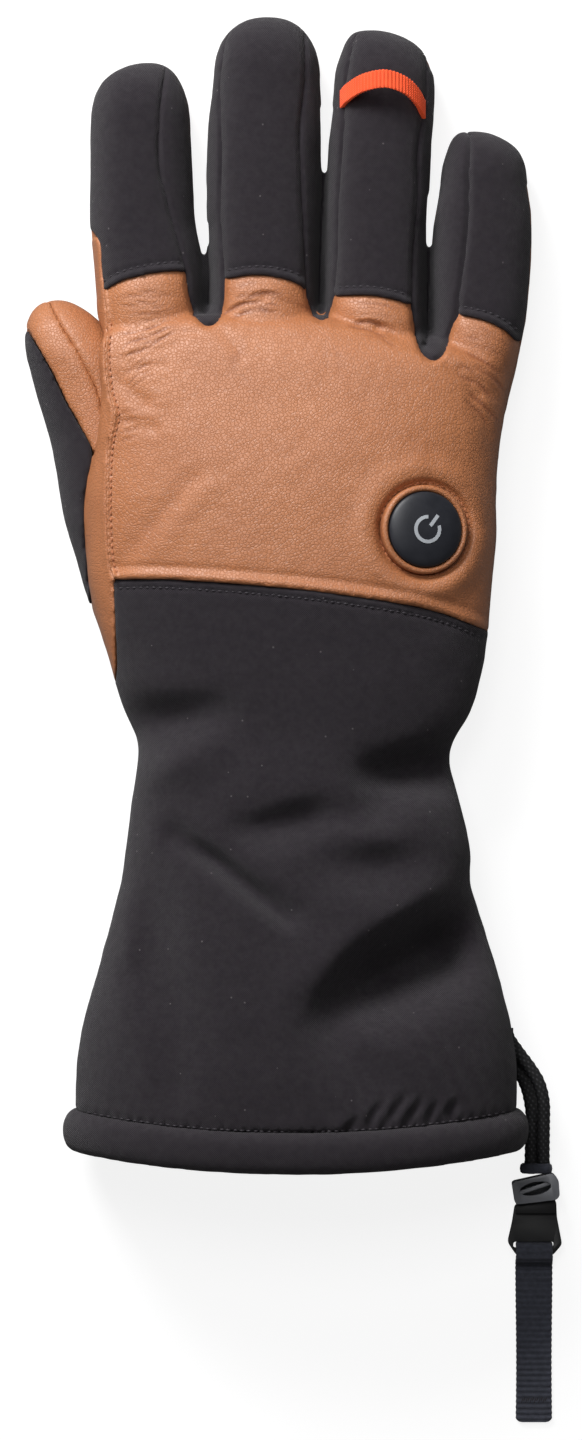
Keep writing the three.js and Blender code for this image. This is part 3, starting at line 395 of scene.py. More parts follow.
# The way that the drawcord runs
OUTER_RUN = [
    [64.8, -125.0, 10.9], [65.4, -127.7, 11], [68.2, -131.8, 11.6], [71.6, -136.4, 12],
    [74, -140.6, 12], [75.3, -146, 11.2], [75.4, -152.5, 9.4], [75.4, -159.5, 7], [75.5, -165.4, 5.2],
]
INNER_RUN = [
    [63.7, -125.1, 6.8], [64.3, -127.9, 6.9], [66.2, -132.2, 7.4], [68.6, -137.2, 8],
    [70.9, -142.4, 8.2], [72.1, -148.6, 7.8], [72.1, -154.6, 7], [72.0, -160.6, 6], [71.9, -166.5, 5.2],
]
LOCK_SHAPE = [
    [66.4, -169.0], [78.1, -166.4], [79.8, -168.3], [80.1, -172.9], [79.2, -174.0], [67.4, -175.4],
]
PLATE_SHAPE = [
    [67.4, -175.7], [79.2, -174.3], [79.4, -179.1], [80.9, -187.0], [78.2, -190.2], [67.8, -190.2],
    [65.3, -186.5], [66.6, -180.8],
]
NECK_SHAPE = [[67.8, -174.6], [78.9, -173.4], [79.0, -178], [67.6, -178]]
LOCK_WINDOW = {"x": 73.1, "y": -170.8, "long": 4.6, "short": 1.9, "turn": 0.2}
SLOT = {"left": 66.9, "right": 78.5, "top": -186.25, "bottom": -188.15}
TAB = {"x": 72.9, "width": 10.4, "end": -236.7}
PLATE_END_Y = -190.2


# Property groups


def colour(name, words, value):
    """A colour that a user can change"""
    return FloatVectorProperty(
        name=name, description=words, default=value, size=3, min=0, max=1, subtype="COLOR"
    )


class GloveColours(bpy.types.PropertyGroup):
    """Colours of the glove's finishes"""

    leather: colour("Leather", "Tan leather", (0.45, 0.168, 0.066))
    # Darker tan for the leather's clouds and its thread; a share of it is also the painted shade in the
    # leather's creases
    leather_dark: colour("Leather folds", "Tan leather where it is worn in", (0.34, 0.115, 0.043))
    softshell: colour("Softshell", "Black woven fabric", (0.0165, 0.0124, 0.0172))
    softshell_light: colour("Softshell bloom", "Black fabric where it is rubbed", (0.0265, 0.0215, 0.0268))
    lint: colour("Lint", "Specks of lint on the fabric", (0.13, 0.115, 0.12))
    # Also the colour of the webbing's painted glow
    orange: colour("Webbing loop", "Bright orange webbing", (1.0, 0.105, 0.022))
    button: colour("Button", "Matt rubber of the button", (0.014, 0.015, 0.02))
    mark: colour("Mark", "Printed power mark", (0.38, 0.4, 0.43))
    lock: colour("Lock", "Grey moulded plastic", (0.17, 0.174, 0.19))
    webbing: colour("Pull", "Dark ribbed webbing", (0.042, 0.045, 0.062))
    braid: colour("Drawcord", "Dark braid", (0.012, 0.012, 0.013))
    fleck: colour("Drawcord flecks", "Light yarns in the braid", (0.14, 0.14, 0.147))
    floor: colour("Floor", "Pale studio floor", (0.25, 0.25, 0.25))


class GloveSizes(bpy.types.PropertyGroup):
    """Sizes that set how fine the glove's skin is"""

    skin_step: FloatProperty(
        name="Skin step", description="Size of the skin's faces", default=0.00095, min=0.0005,
        max=0.003, unit="LENGTH", subtype="DISTANCE",
    )
    form_step: FloatProperty(
        name="Form step", description="Size of the faces of the plain form", default=0.0008,
        min=0.0006, max=0.004, unit="LENGTH", subtype="DISTANCE",
    )
    crease_depth: FloatProperty(
        name="Crease depth", description="How deep creases and folds are pressed", default=1.0,
        min=0, max=2, subtype="FACTOR",
    )
    stitch_pitch: FloatProperty(
        name="Stitch pitch", description="Distance from stitch to stitch", default=0.0019,
        min=0.0015, max=0.005, unit="LENGTH", subtype="DISTANCE",
    )


# Plain arithmetic


def smooth(t):
    """A soft step from 0 to 1"""
    t = np.clip(t, 0, 1)
    return t * t * (3 - 2 * t)


def curve_through(points, step=SEAM_STEP):
    """A smooth line through the points, in even steps"""
    p = np.array(points, dtype=float)
    p = np.vstack([2 * p[0] - p[1], p, 2 * p[-1] - p[-2]])
    fine = []
    for a, b, c, d in zip(p[:-3], p[1:-2], p[2:-1], p[3:]):
        for t in np.linspace(0, 1, 16, endpoint=False):
            fine.append(0.5 * (
                2 * b + (c - a) * t + (2 * a - 5 * b + 4 * c - d) * t**2
                + (3 * b - a - 3 * c + d) * t**3
            ))
    fine = np.array(fine + [p[-2]])
    run = run_along(fine)
    count = max(int(round(run[-1] / step)), 2)
    at = np.linspace(0, run[-1], count + 1)
    return np.stack([np.interp(at, run, fine[:, k]) for k in range(fine.shape[1])], axis=1)


def run_along(points):
    """How far along a line each of its points is"""
    return np.concatenate([[0], np.cumsum(np.linalg.norm(np.diff(points, axis=0), axis=1))])


def direction(points):
    """The way along a line at each of its points"""
    way = np.gradient(points, axis=0)
    return way / np.linalg.norm(way, axis=1)[:, None]


def line_length(points):
    """The length of a line of points"""
    return float(np.linalg.norm(np.diff(np.asarray(points), axis=0), axis=1).sum())


def from_line(xy, line):
    """How far points lie from a line, on which side of it, and how far along it"""
    best = np.full(len(xy), np.inf)
    side = np.zeros(len(xy))
    along = np.zeros(len(xy))
    run = 0.0
    for a, b in zip(line[:-1], line[1:]):
        way = b - a
        length = np.linalg.norm(way)
        rel = xy - a
        t = np.clip(rel @ way / length**2, 0, 1)
        away = np.linalg.norm(rel - t[:, None] * way, axis=1)
        nearer = away < best
        best[nearer] = away[nearer]
        side[nearer] = np.sign(way[0] * rel[:, 1] - way[1] * rel[:, 0])[nearer]
        along[nearer] = (run + t * length)[nearer]
        run += length
    return best, side, along


def noise(points, size, seed):
    """Smooth random values from -1 to 1, with features of the given size"""
    grid = points / size + seed * 17.31
    base = np.floor(grid).astype(np.int64)
    t = smooth(grid - base)
    total = np.zeros(len(points))
    for corner in itertools.product((0, 1), repeat=3):
        cell = base + np.array(corner)
        mixed = cell[:, 0] * 73856093 ^ cell[:, 1] * 19349663 ^ cell[:, 2] * 83492791 ^ seed * 83
        mixed = ((mixed ^ (mixed >> 13)) * 1274126177) & 0x7FFFFFFF
        weight = np.prod(np.where(corner, t, 1 - t), axis=1)
        total += weight * (mixed / 0x3FFFFFFF - 1)
    return total


# The glove's forms


def blurred_rows(form):
    """The rows of a form as soft curves along y, kept with the form"""
    if "curves" not in form:
        rows = form["rows"]
        y = np.arange(rows["y"][0] - 3 * ROW_BLUR, rows["y"][-1] + 3 * ROW_BLUR + 1, 1.0)
        reach = np.arange(-6, 7)
        kernel = np.exp(-((reach / ROW_BLUR) ** 2))
        kernel /= kernel.sum()
        form["curves"] = {"y": y[6:-6]}
        for name in ("left", "right", "crown", "left_edge", "right_edge"):
            form["curves"][name] = np.convolve(np.interp(y, rows["y"], rows[name]), kernel, "valid")
    return form["curves"]


def section_at(form, y, inset=0.0):
    """The section of a form at y, moved in from its surface by inset"""
    curves = blurred_rows(form)
    tip = form["tip"]
    at = {name: np.interp(y, curves["y"], curves[name]) for name in curves if name != "y"}
    along = np.clip((y - (tip["y"] - inset - tip["length"])) / tip["length"], 0, 1)
    scale = (1 - along ** tip["power"]) ** (1 / tip["power"])
    centre = (at["left"] + at["right"]) / 2
    return {
        "centre": centre + (tip["x"] - centre) * along ** tip["skew"],
        "half": ((at["right"] - at["left"]) / 2 - inset) * scale,
        "crown": at["crown"] - inset,
        "left_edge": at["left_edge"],
        "right_edge": at["right_edge"],
        "scale": scale,
    }


def fold_rise(x, y, first=0, last=None):
    """How far the folds raise the top at x, y"""
    rise = np.zeros_like(x)
    for x0, y0, x1, y1, width, high in zip(*(FOLDS[n][first:last] for n in FOLDS)):
        dx, dy = x1 - x0, y1 - y0
        t = np.clip(((x - x0) * dx + (y - y0) * dy) / (dx * dx + dy * dy), 0, 1)
        away = np.hypot(x - x0 - dx * t, y - y0 - dy * t)
        rise += high * np.exp(-((away / width) ** 2))
    return rise


def cuff_sag(u, y):
    """How far the cuff's mouth sags towards the wearer between its two sides"""
    along = smooth((CUFF_SAG_START_Y - y) / (CUFF_SAG_START_Y - CUFF_END_Y))
    return CUFF_SAG * (1 - u * u) * along


def hem_edge_y(x, above):
    """The y of the seam between the cuff and its hem at x, or a little above it"""
    return CUFF_END_Y + above - CUFF_SAG * (1 - ((x - CUFF_MIDDLE_X) / CUFF_HALF_WIDTH) ** 2)


def pleats(x, y, shift, width):
    """Small dents along the hem's seam, from 0 to 1"""
    away = y - hem_edge_y(x, 0.8) - shift
    return (0.5 + 0.5 * np.cos(2 * math.pi * x / PLEAT_PITCH)) * np.exp(-((away / width) ** 2))


def section_points(form, stations, angles, inset):
    """Rings of points of a form: one ring for each station along y"""
    y = np.asarray(stations, dtype=float)[:, None] + 0 * angles
    section = section_at(form, y, np.asarray(inset)[:, None] if np.ndim(inset) else inset)
    depth = np.asarray(inset)[:, None] + 0 * angles if np.ndim(inset) else inset + 0 * y
    top = np.sin(angles) > 0
    power = np.where(top, TOP_POWER, FLOOR_POWER)
    u = np.sign(np.cos(angles)) * np.abs(np.cos(angles)) ** (2 / power)
    w = np.abs(np.sin(angles)) ** (2 / power)
    x = section["centre"] + section["half"] * u
    edge = section["left_edge"] + (section["right_edge"] - section["left_edge"]) * (u + 1) / 2
    drop = (edge - depth) * FLOOR_OVERSHOOT * w * section["scale"]
    low = np.maximum(edge - drop, np.maximum(depth, 0))
    high = edge + (section["crown"] - edge) * w * section["scale"]
    z = np.where(top, high, low)
    if form is HAND:
        lift = fold_rise(x, y, 0, CUFF_FOLDS) * np.clip(1.4 * w, 0, 1)
        z = z + np.where(top, lift, 0)
        y = y - cuff_sag(u, y)
    return np.stack([x, y, z], axis=2)


def top_of(form, x, y):
    """The height of a form's top at x, y, or zero beside it"""
    section = section_at(form, y)
    u = (x - section["centre"]) / np.maximum(section["half"], 1e-6)
    edge = section["left_edge"] + (section["right_edge"] - section["left_edge"]) * (u + 1) / 2
    w = np.clip(1 - np.abs(u) ** TOP_POWER, 0, 1) ** (1 / TOP_POWER)
    high = edge + (section["crown"] - edge) * w * section["scale"]
    inside = (np.abs(u) <= 1) & (y <= form["tip"]["y"]) & (y >= form["rows"]["y"][0])
    return np.where(inside, high, 0)


def top_of_glove(x, y):
    """The height of the glove's top at x, y"""
    return np.max([top_of(form, x, y) for form in (HAND, *LONG_FINGERS, THUMB)], axis=0)


def top_of_thumb(x, y):
    """The height of the thumb's top at x, y, and its edge beside it"""
    return np.maximum(top_of(THUMB, x, y), THUMB["rows"]["left_edge"][-1])


# Mesh work


def mesh_of(name, points, faces):
    """A mesh from points in millimetres"""
    mesh = bpy.data.meshes.new(name)
    mesh.from_pydata((np.asarray(points) * MM).tolist(), [], [list(map(int, f)) for f in faces])
    mesh.validate()
    return mesh


def object_of(name, mesh):
    """An object in the scene for a mesh"""
    thing = bpy.data.objects.new(name, mesh)
    bpy.context.scene.collection.objects.link(thing)
    return thing


def drop(*things):
    """Takes helper objects and their meshes away"""
    for thing in things:
        mesh = thing.data
        bpy.data.objects.remove(thing)
        if mesh.users == 0:
            bpy.data.meshes.remove(mesh)


def ring_faces(rings, count, closed=False):
    """The skin and, where it isn't closed on itself, the two ends of a stack of rings"""
    faces = []
    turns = rings if closed else rings - 1
    for j in range(turns):
        k = (j + 1) % rings
        for i in range(count):
            n = (i + 1) % count
            faces.append([j * count + i, k * count + i, k * count + n, j * count + n])
    if not closed:
        faces.append(list(range(count)))
        faces.append([(rings - 1) * count + i for i in reversed(range(count))])
    return faces


def ring_mesh(name, rings):
    """A closed mesh from rings with equal counts of points"""
    rings = np.asarray(rings)
    count = rings.shape[1]
    return mesh_of(name, rings.reshape(-1, 3), ring_faces(len(rings), count))


SECTION_TOP = np.linspace(0, math.pi, 64)
SECTION_FLOOR = np.linspace(math.pi, 2 * math.pi, 34)[1:-1]
SECTION_ANGLES = np.concatenate([SECTION_TOP, SECTION_FLOOR])
TIP_STEPS = np.array([0, 0.15, 0.3, 0.45, 0.58, 0.7, 0.8, 0.88, 0.94, 0.975, 0.994])


def whole_form(name, form, first, inset=0.0, step=2.5):
    """A closed loft of a form up to its rounded tip"""
    start = form["tip"]["y"] - inset - form["tip"]["length"]
    stations = np.concatenate([
        np.arange(first, start - step / 2, step), start + TIP_STEPS * form["tip"]["length"],
    ])
    return object_of(name, ring_mesh(name, section_points(form, stations, SECTION_ANGLES, inset)))


def applied(thing, name):
    """A copy of an object with its modifiers applied"""
    graph = bpy.context.evaluated_depsgraph_get()
    mesh = bpy.data.meshes.new_from_object(thing.evaluated_get(graph))
    mesh.name = name
    return mesh


def combine(thing, operation, other):
    """Joins an object to another, or cuts it by the other"""
    modifier = thing.modifiers.new(operation.title(), "BOOLEAN")
    modifier.operation = operation
    modifier.solver = "MANIFOLD"
    modifier.object = other


def settle(thing):
    """Applies the modifiers of an object in place"""
    mesh = applied(thing, thing.name)
    old = thing.data
    thing.modifiers.clear()
    thing.data = mesh
    bpy.data.meshes.remove(old)
    if not mesh.vertices:
        raise RuntimeError(f"{thing.name} came out empty")
    return thing


def carve(thing, operation, *others):
    """Joins objects to another, or cuts it by them, and takes them away"""
    for other in others:
        combine(thing, operation, other)
    settle(thing)
    drop(*others)


def remeshed(thing, voxel, smoothing):
    """Gives an object an even mesh and softens it"""
    remesh = thing.modifiers.new("Remesh", "REMESH")
    remesh.mode = "VOXEL"
    remesh.voxel_size = voxel
    soft = thing.modifiers.new("Smooth", "SMOOTH")
    soft.factor = 0.5
    soft.iterations = smoothing
    settle(thing)


def copy_of(thing, name):
    """A copy of an object with a mesh of its own"""
    return object_of(name, thing.data.copy())


def points_of(mesh):
    """The points of a mesh, in millimetres"""
    flat = np.empty(len(mesh.vertices) * 3)
    mesh.vertices.foreach_get("co", flat)
    return flat.reshape(-1, 3) / MM


def normals_of(mesh):
    """The normals at the points of a mesh"""
    flat = np.empty(len(mesh.vertices) * 3, dtype=np.float32)
    mesh.vertex_normals.foreach_get("vector", flat)
    return flat.reshape(-1, 3).astype(float)


def move_points(mesh, points):
    """Puts the points of a mesh, in millimetres, in new places"""
    mesh.vertices.foreach_set("co", (points * MM).ravel())
    mesh.update()


def shade_smooth(mesh):
    """Smooth shading on every face"""
    mesh.polygons.foreach_set("use_smooth", np.ones(len(mesh.polygons), dtype=bool))
    mesh.update()


# The seams as cuts through the walls


def seam(points, height, side):
    """A seam's points below and above the surface, leaning as the cut through the wall leans"""
    line = curve_through(points)
    way = direction(line)
    out = np.column_stack([
        -way[:, 1] * side * SEAM_LEAN, way[:, 0] * side * SEAM_LEAN, np.ones(len(line)),
    ])
    out /= np.linalg.norm(out, axis=1)[:, None]
    on = np.column_stack([line, height(line[:, 0], line[:, 1])])
    return {"inner": on - out * SEAM_REACH_IN, "outer": on + out * SEAM_REACH_OUT}


def upright(points):
    """A seam cut straight down"""
    line = curve_through(points)[1:-1]
    z = top_of_glove(line[:, 0], line[:, 1])
    return {
        "inner": np.column_stack([line, z - SEAM_REACH_IN]),
        "outer": np.column_stack([line, z + SEAM_REACH_OUT]),
    }


def corner(x, y):
    """A corner of a cutter that lies outside the glove"""
    return {"inner": np.array([[x, y, -20.0]]), "outer": np.array([[x, y, 40.0]])}


def backwards(line):
    """A seam walked the other way"""
    return {name: ring[::-1] for name, ring in line.items()}


def part_of(line, near_first, near_last):
    """The stretch of a seam between the points nearest two places"""
    flat = (line["inner"][:, :2] + line["outer"][:, :2]) / 2
    places = (np.array(near_first), np.array(near_last))
    ends = [int(np.argmin(np.linalg.norm(flat - place, axis=1))) for place in places]
    first, last = min(ends), max(ends)
    return {name: ring[first:last + 1] for name, ring in line.items()}


def outward_of(outline):
    """The way out from each corner of a closed outline"""
    after = np.roll(outline, -1, axis=0)
    area = 0.5 * np.sum(outline[:, 0] * after[:, 1] - after[:, 0] * outline[:, 1])
    way = after - outline
    way /= np.maximum(np.linalg.norm(way, axis=1), 1e-9)[:, None]
    two = np.column_stack([way[:, 1], -way[:, 0]])
    one = np.roll(two, 1, axis=0)
    total = (one + two) * np.sign(area)
    return total / np.maximum(1 + np.sum(one * two, axis=1), 0.6)[:, None]


def panel_cutter(name, loop, grow, valley=False, bottom=-BEYOND):
    """The body that cuts one panel out of the walls"""
    inner = np.vstack([piece["inner"] for piece in loop])
    outer = np.vstack([piece["outer"] for piece in loop])
    ways = outward_of(outer[:, :2]) * grow
    rings = [inner, outer]
    if valley:
        rings.insert(0, np.column_stack([inner[:, :2], np.full(len(inner), -25.0)]))
    else:
        rings.append(np.column_stack([outer[:, :2], np.full(len(outer), BEYOND)]))
    for ring in rings:
        ring[:, :2] += ways
    body = object_of(name, ring_mesh(name, np.array(rings)))
    orient(body.data)
    if bottom > -BEYOND:
        slab = box_cutter("slab", (-BEYOND, -BEYOND, bottom - grow), (BEYOND,) * 3)
        carve(body, "INTERSECT", slab)
    return body


def orient(mesh):
    """Turns every face of a closed mesh outwards"""
    work = bmesh.new()
    work.from_mesh(mesh)
    bmesh.ops.triangulate(work, faces=[f for f in work.faces if len(f.verts) > 4])
    bmesh.ops.recalc_face_normals(work, faces=work.faces)
    if work.calc_volume(signed=True) < 0:
        bmesh.ops.reverse_faces(work, faces=work.faces)
    work.to_mesh(mesh)
    work.free()


def box_cutter(name, low, high):
    """A plain box that cuts, in millimetres"""
    corners = list(itertools.product(*zip(low, high)))
    faces = [[0, 1, 3, 2], [4, 6, 7, 5], [0, 4, 5, 1], [2, 3, 7, 6], [0, 2, 6, 4], [1, 5, 7, 3]]
    body = object_of(name, mesh_of(name, corners, faces))
    orient(body.data)
    return body


# Everything that the panels are cut from, built once by the first operator that asks
SHOP = {}


def shop():
    """The glove's wall, the thumb's wall and the cutters of the panels"""
    if not SHOP:
        build_walls()
        build_cutters()
    return SHOP


def union_of(things, voxel, smoothing):
    """One soft skin round several closed forms"""
    whole, *others = things
    carve(whole, "UNION", *others)
    remeshed(whole, voxel, smoothing)
    return whole


def open_slits(thing):
    """Opens the narrow gaps between the fingers"""
    for outline in SLITS:
        slit = slab_object("slit", outline, -BEYOND, BEYOND)
        carve(thing, "DIFFERENCE", slit)


def build_walls():
    """The closed outer form of the glove and the room inside it"""
    voxel = bpy.context.scene.glove_sizes.form_step
    for form in (HAND, *LONG_FINGERS, THUMB):
        blurred_rows(form)
    crotch = box_cutter("crotch", (-BEYOND, THUMB_CROTCH_Y, -BEYOND), (BEYOND,) * 3)
    crotch_in = box_cutter("crotch_in", (-BEYOND, THUMB_CROTCH_Y - WALL, -BEYOND), (BEYOND,) * 3)
    place = whole_form("place", THUMB, -24, -THUMB_CLEARANCE)
    combine(place, "INTERSECT", crotch)
    settle(place)
    place_wall = whole_form("place_wall", THUMB, -24, -THUMB_CLEARANCE - WALL)
    combine(place_wall, "INTERSECT", crotch_in)
    settle(place_wall)

    hand = whole_form("hand", HAND, CUFF_END_Y)
    fingers = [whole_form("finger", form, form["rows"]["y"][0]) for form in LONG_FINGERS]
    outer = union_of([hand, *fingers], voxel, 4)
    open_slits(outer)
    thumb = whole_form("thumb", THUMB, -24)
    thumb_base = copy_of(thumb, "thumb_base")
    combine(thumb_base, "DIFFERENCE", crotch)
    settle(thumb_base)
    combine(outer, "DIFFERENCE", place)
    combine(outer, "UNION", thumb_base)
    settle(outer)

    room = whole_form("room", HAND, CUFF_END_Y - 40, WALL)
    rooms = [
        whole_form("finger_room", form, form["rows"]["y"][0] - 4, WALL) for form in LONG_FINGERS
    ]
    for other in rooms:
        combine(room, "UNION", other)
    combine(room, "DIFFERENCE", place_wall)
    thumb_room = whole_form("thumb_room", THUMB, -14, WALL)
    combine(room, "UNION", thumb_room)
    settle(room)
    combine(outer, "DIFFERENCE", room)
    settle(outer)
    combine(thumb, "DIFFERENCE", room)
    settle(thumb)
    SHOP["wall"] = outer
    SHOP["thumb_wall"] = thumb
    drop(crotch, crotch_in, place, place_wall, thumb_base, room, thumb_room, *rooms)


def build_cutters():
    """The outlines of the panels, as named loops"""
    index_middle, middle_ring, ring_little = (seam(s, top_of_glove, 1) for s in SIDE_SEAMS)
    welt = seam(WELT, top_of_glove, -1)
    index_edge, middle_edge, ring_edge, little_edge = map(upright, BACK_EDGES)
    cuff_edge = upright(CUFF_SEAM[:-1])
    index_join, middle_join = INDEX_EDGE[-1], MIDDLE_EDGE[0]
    middle_end, ring_join = MIDDLE_EDGE[-1], RING_EDGE[0]
    ring_end, little_join = RING_EDGE[-1], LITTLE_EDGE[0]
    welt_join = INDEX_EDGE[0]
    SHOP["loops"] = {
        "index_back": dict(bottom=FINGER_SEAM_Z, loop=[
            corner(-75, 175), corner(-75, 103.9), part_of(welt, WELT[0], welt_join), index_edge,
            backwards(part_of(index_middle, INDEX_RIGHT[0], index_join)), corner(-32.5, 175),
        ]),
        "middle_back": dict(bottom=FINGER_SEAM_Z, loop=[
            corner(-15.8, 175), backwards(part_of(index_middle, middle_join, MIDDLE_LEFT[-1])),
            middle_edge, backwards(part_of(middle_ring, MIDDLE_RIGHT[0], middle_end)), corner(7, 175),
        ]),
        "ring_back": dict(bottom=FINGER_SEAM_Z, loop=[
            corner(20.9, 175), backwards(part_of(middle_ring, ring_join, RING_LEFT[-1])),
            ring_edge, backwards(part_of(ring_little, RING_RIGHT[0], ring_end)), corner(41, 175),
        ]),
        "little_back": dict(bottom=FINGER_SEAM_Z, loop=[
            corner(54.3, 175), backwards(part_of(ring_little, little_join, LITTLE_LEFT[-1])),
            little_edge, corner(85, 70.4), corner(85, 175),
        ]),
        "index_middle_gusset": dict(bottom=FINGER_SEAM_Z, valley=True, loop=[
            index_middle, corner(-15.8, 175), corner(-32.5, 175),
        ]),
        "middle_ring_gusset": dict(bottom=FINGER_SEAM_Z, valley=True, loop=[
            middle_ring, corner(20.9, 175), corner(7, 175),
        ]),
        "ring_little_gusset": dict(bottom=FINGER_SEAM_Z, valley=True, loop=[
            ring_little, corner(54.3, 175), corner(41, 175),
        ]),
        "hand_back": dict(bottom=SIDE_SEAM_Z, loop=[
            part_of(welt, welt_join, WELT[-1]), cuff_edge, corner(59, -11), corner(85, -20),
            corner(85, 70.4), backwards(little_edge),
            backwards(part_of(ring_little, ring_end, little_join)), backwards(ring_edge),
            backwards(part_of(middle_ring, middle_end, ring_join)), backwards(middle_edge),
            backwards(part_of(index_middle, index_join, middle_join)), backwards(index_edge),
        ]),
    }
    SHOP["thumb_top_loop"] = [
        corner(-95, 75.4), seam(THUMB_BLACK[:6], top_of_thumb, -1), corner(-48.5, 39.6),
        backwards(seam(THUMB_PANEL, top_of_thumb, 1)), corner(-65.3, 110), corner(-95, 110),
    ]
    cuff_line = curve_through(CUFF_SEAM)
    SHOP["cuff_top"] = [
        *cuff_line, (80, -BEYOND), (-80, -BEYOND), (-80, -28), (-47, -28), *TONGUE[:0:-1],
    ]
    SHOP["cuff_floor"] = [
        (-30, -12), (40, -12), (80, -20), (80, -BEYOND), (-80, -BEYOND), (-80, -28), (-40, -28),
    ]
    SHOP["thumb_side"] = [
        *curve_through(THUMB_BLACK), (-60, -11), (-95, -11), (-95, 75.4),
    ]


def loop_cutter(name, grow):
    """The cutter of one panel on the top"""
    settings = shop()["loops"][name]
    cutter = panel_cutter(
        f"cut_{name}", [dict(p) for p in settings["loop"]], grow,
        settings.get("valley", False), settings["bottom"],
    )
    if name == "little_back":
        strip = box_cutter("strip", (66, -BEYOND, -BEYOND), (BEYOND, 116, LITTLE_STRIP_Z - grow))
        carve(cutter, "DIFFERENCE", strip)
    return cutter


# The heights between which each panel with a plain outline is cut
CURTAINS = {
    "cuff_top": (SIDE_SEAM_Z, BEYOND),
    "cuff_floor": (-BEYOND, SIDE_SEAM_Z),
    "thumb_side": (THUMB_SEAM_Z, BEYOND),
}


def curtain_cutter(name, grow):
    """The upright cutter of a panel that has a plain outline"""
    low, high = CURTAINS[name]
    flat = np.array(shop()[name], dtype=float)
    return slab_object(f"cut_{name}", flat + outward_of(flat) * grow, low - grow, high + grow)


# Relief of the skins: all of it is moved in code


def press(
    points, line, width, depth, offset=0.0, side=0, pitch=0.0, ripple=0.0, cusp=False, taper=0.0,
):
    """A groove or a ridge that follows a line, on one side of it where side is given"""
    near = curve_through(line, 1.5)
    low, high = near.min(axis=0) - 8, near.max(axis=0) + 8
    inside = np.all((points[:, :2] > low) & (points[:, :2] < high), axis=1)
    rise = np.zeros(len(points))
    if not inside.any():
        return rise
    away, hand, along = from_line(points[inside, :2], near)
    amount = depth * np.exp(-(np.abs(away - offset) / width) ** (1 if cusp else 2))
    if pitch:
        amount = amount * (1 + ripple * np.cos(2 * math.pi * along / pitch))
    if taper:
        reach = taper * line_length(near)
        amount = amount * smooth(along / reach) * smooth((line_length(near) - along) / reach)
    if side:
        amount = np.where(hand == side, amount, 0)
    rise[inside] = amount
    return rise


def lap(points, line, side, depth, steep, far):
    """A fold that dives along a line and comes back slowly on one side of it"""
    near = curve_through(line, 2.5)
    away, hand, along = from_line(points[:, :2], near)
    far_side = away * np.where(hand == side, 1, -1)
    length = line_length(near)
    ends = smooth(along / (0.42 * length)) * smooth((length - along) / (0.42 * length))
    beyond = np.exp(-((np.maximum(far_side - steep / 2, 0) / far) ** 2))
    off_end = np.exp(-((np.minimum(far_side, 0) / 6) ** 2)) * np.exp(-((away / (far + 8)) ** 4))
    return -depth * smooth(far_side / steep + 0.5) * beyond * ends * off_end


def fan(points, start, end, count, bow, width, depth, seed):
    """A fan of fine wrinkles that run from one line to another, no two alike"""
    chance = np.random.default_rng(seed)
    start, end = np.array(start, dtype=float), np.array(end, dtype=float)
    rise = np.zeros(len(points))
    for k in range(count):
        share = (k + 0.5 + 0.5 * chance.uniform(-1, 1)) / count
        one = start[0] + (start[1] - start[0]) * share
        two = end[0] + (end[1] - end[0]) * share
        first, last = chance.uniform(0, 0.35), chance.uniform(0.65, 1)
        across = np.array([one[1] - two[1], two[0] - one[0]])
        across /= np.linalg.norm(across)
        line = []
        for at in np.linspace(first, last, 5):
            shift = bow * math.sin(math.pi * at) + 0.45 * chance.uniform(-1, 1)
            line.append(one + (two - one) * at + across * shift)
        size = chance.uniform(0.5, 1.2)
        rise += press(points, line, width * chance.uniform(0.8, 1.3), -depth * size, taper=0.3)
        rise += press(points, line, 1.4 * width, 0.3 * depth * size, offset=2.0 * width, taper=0.3)
    return rise


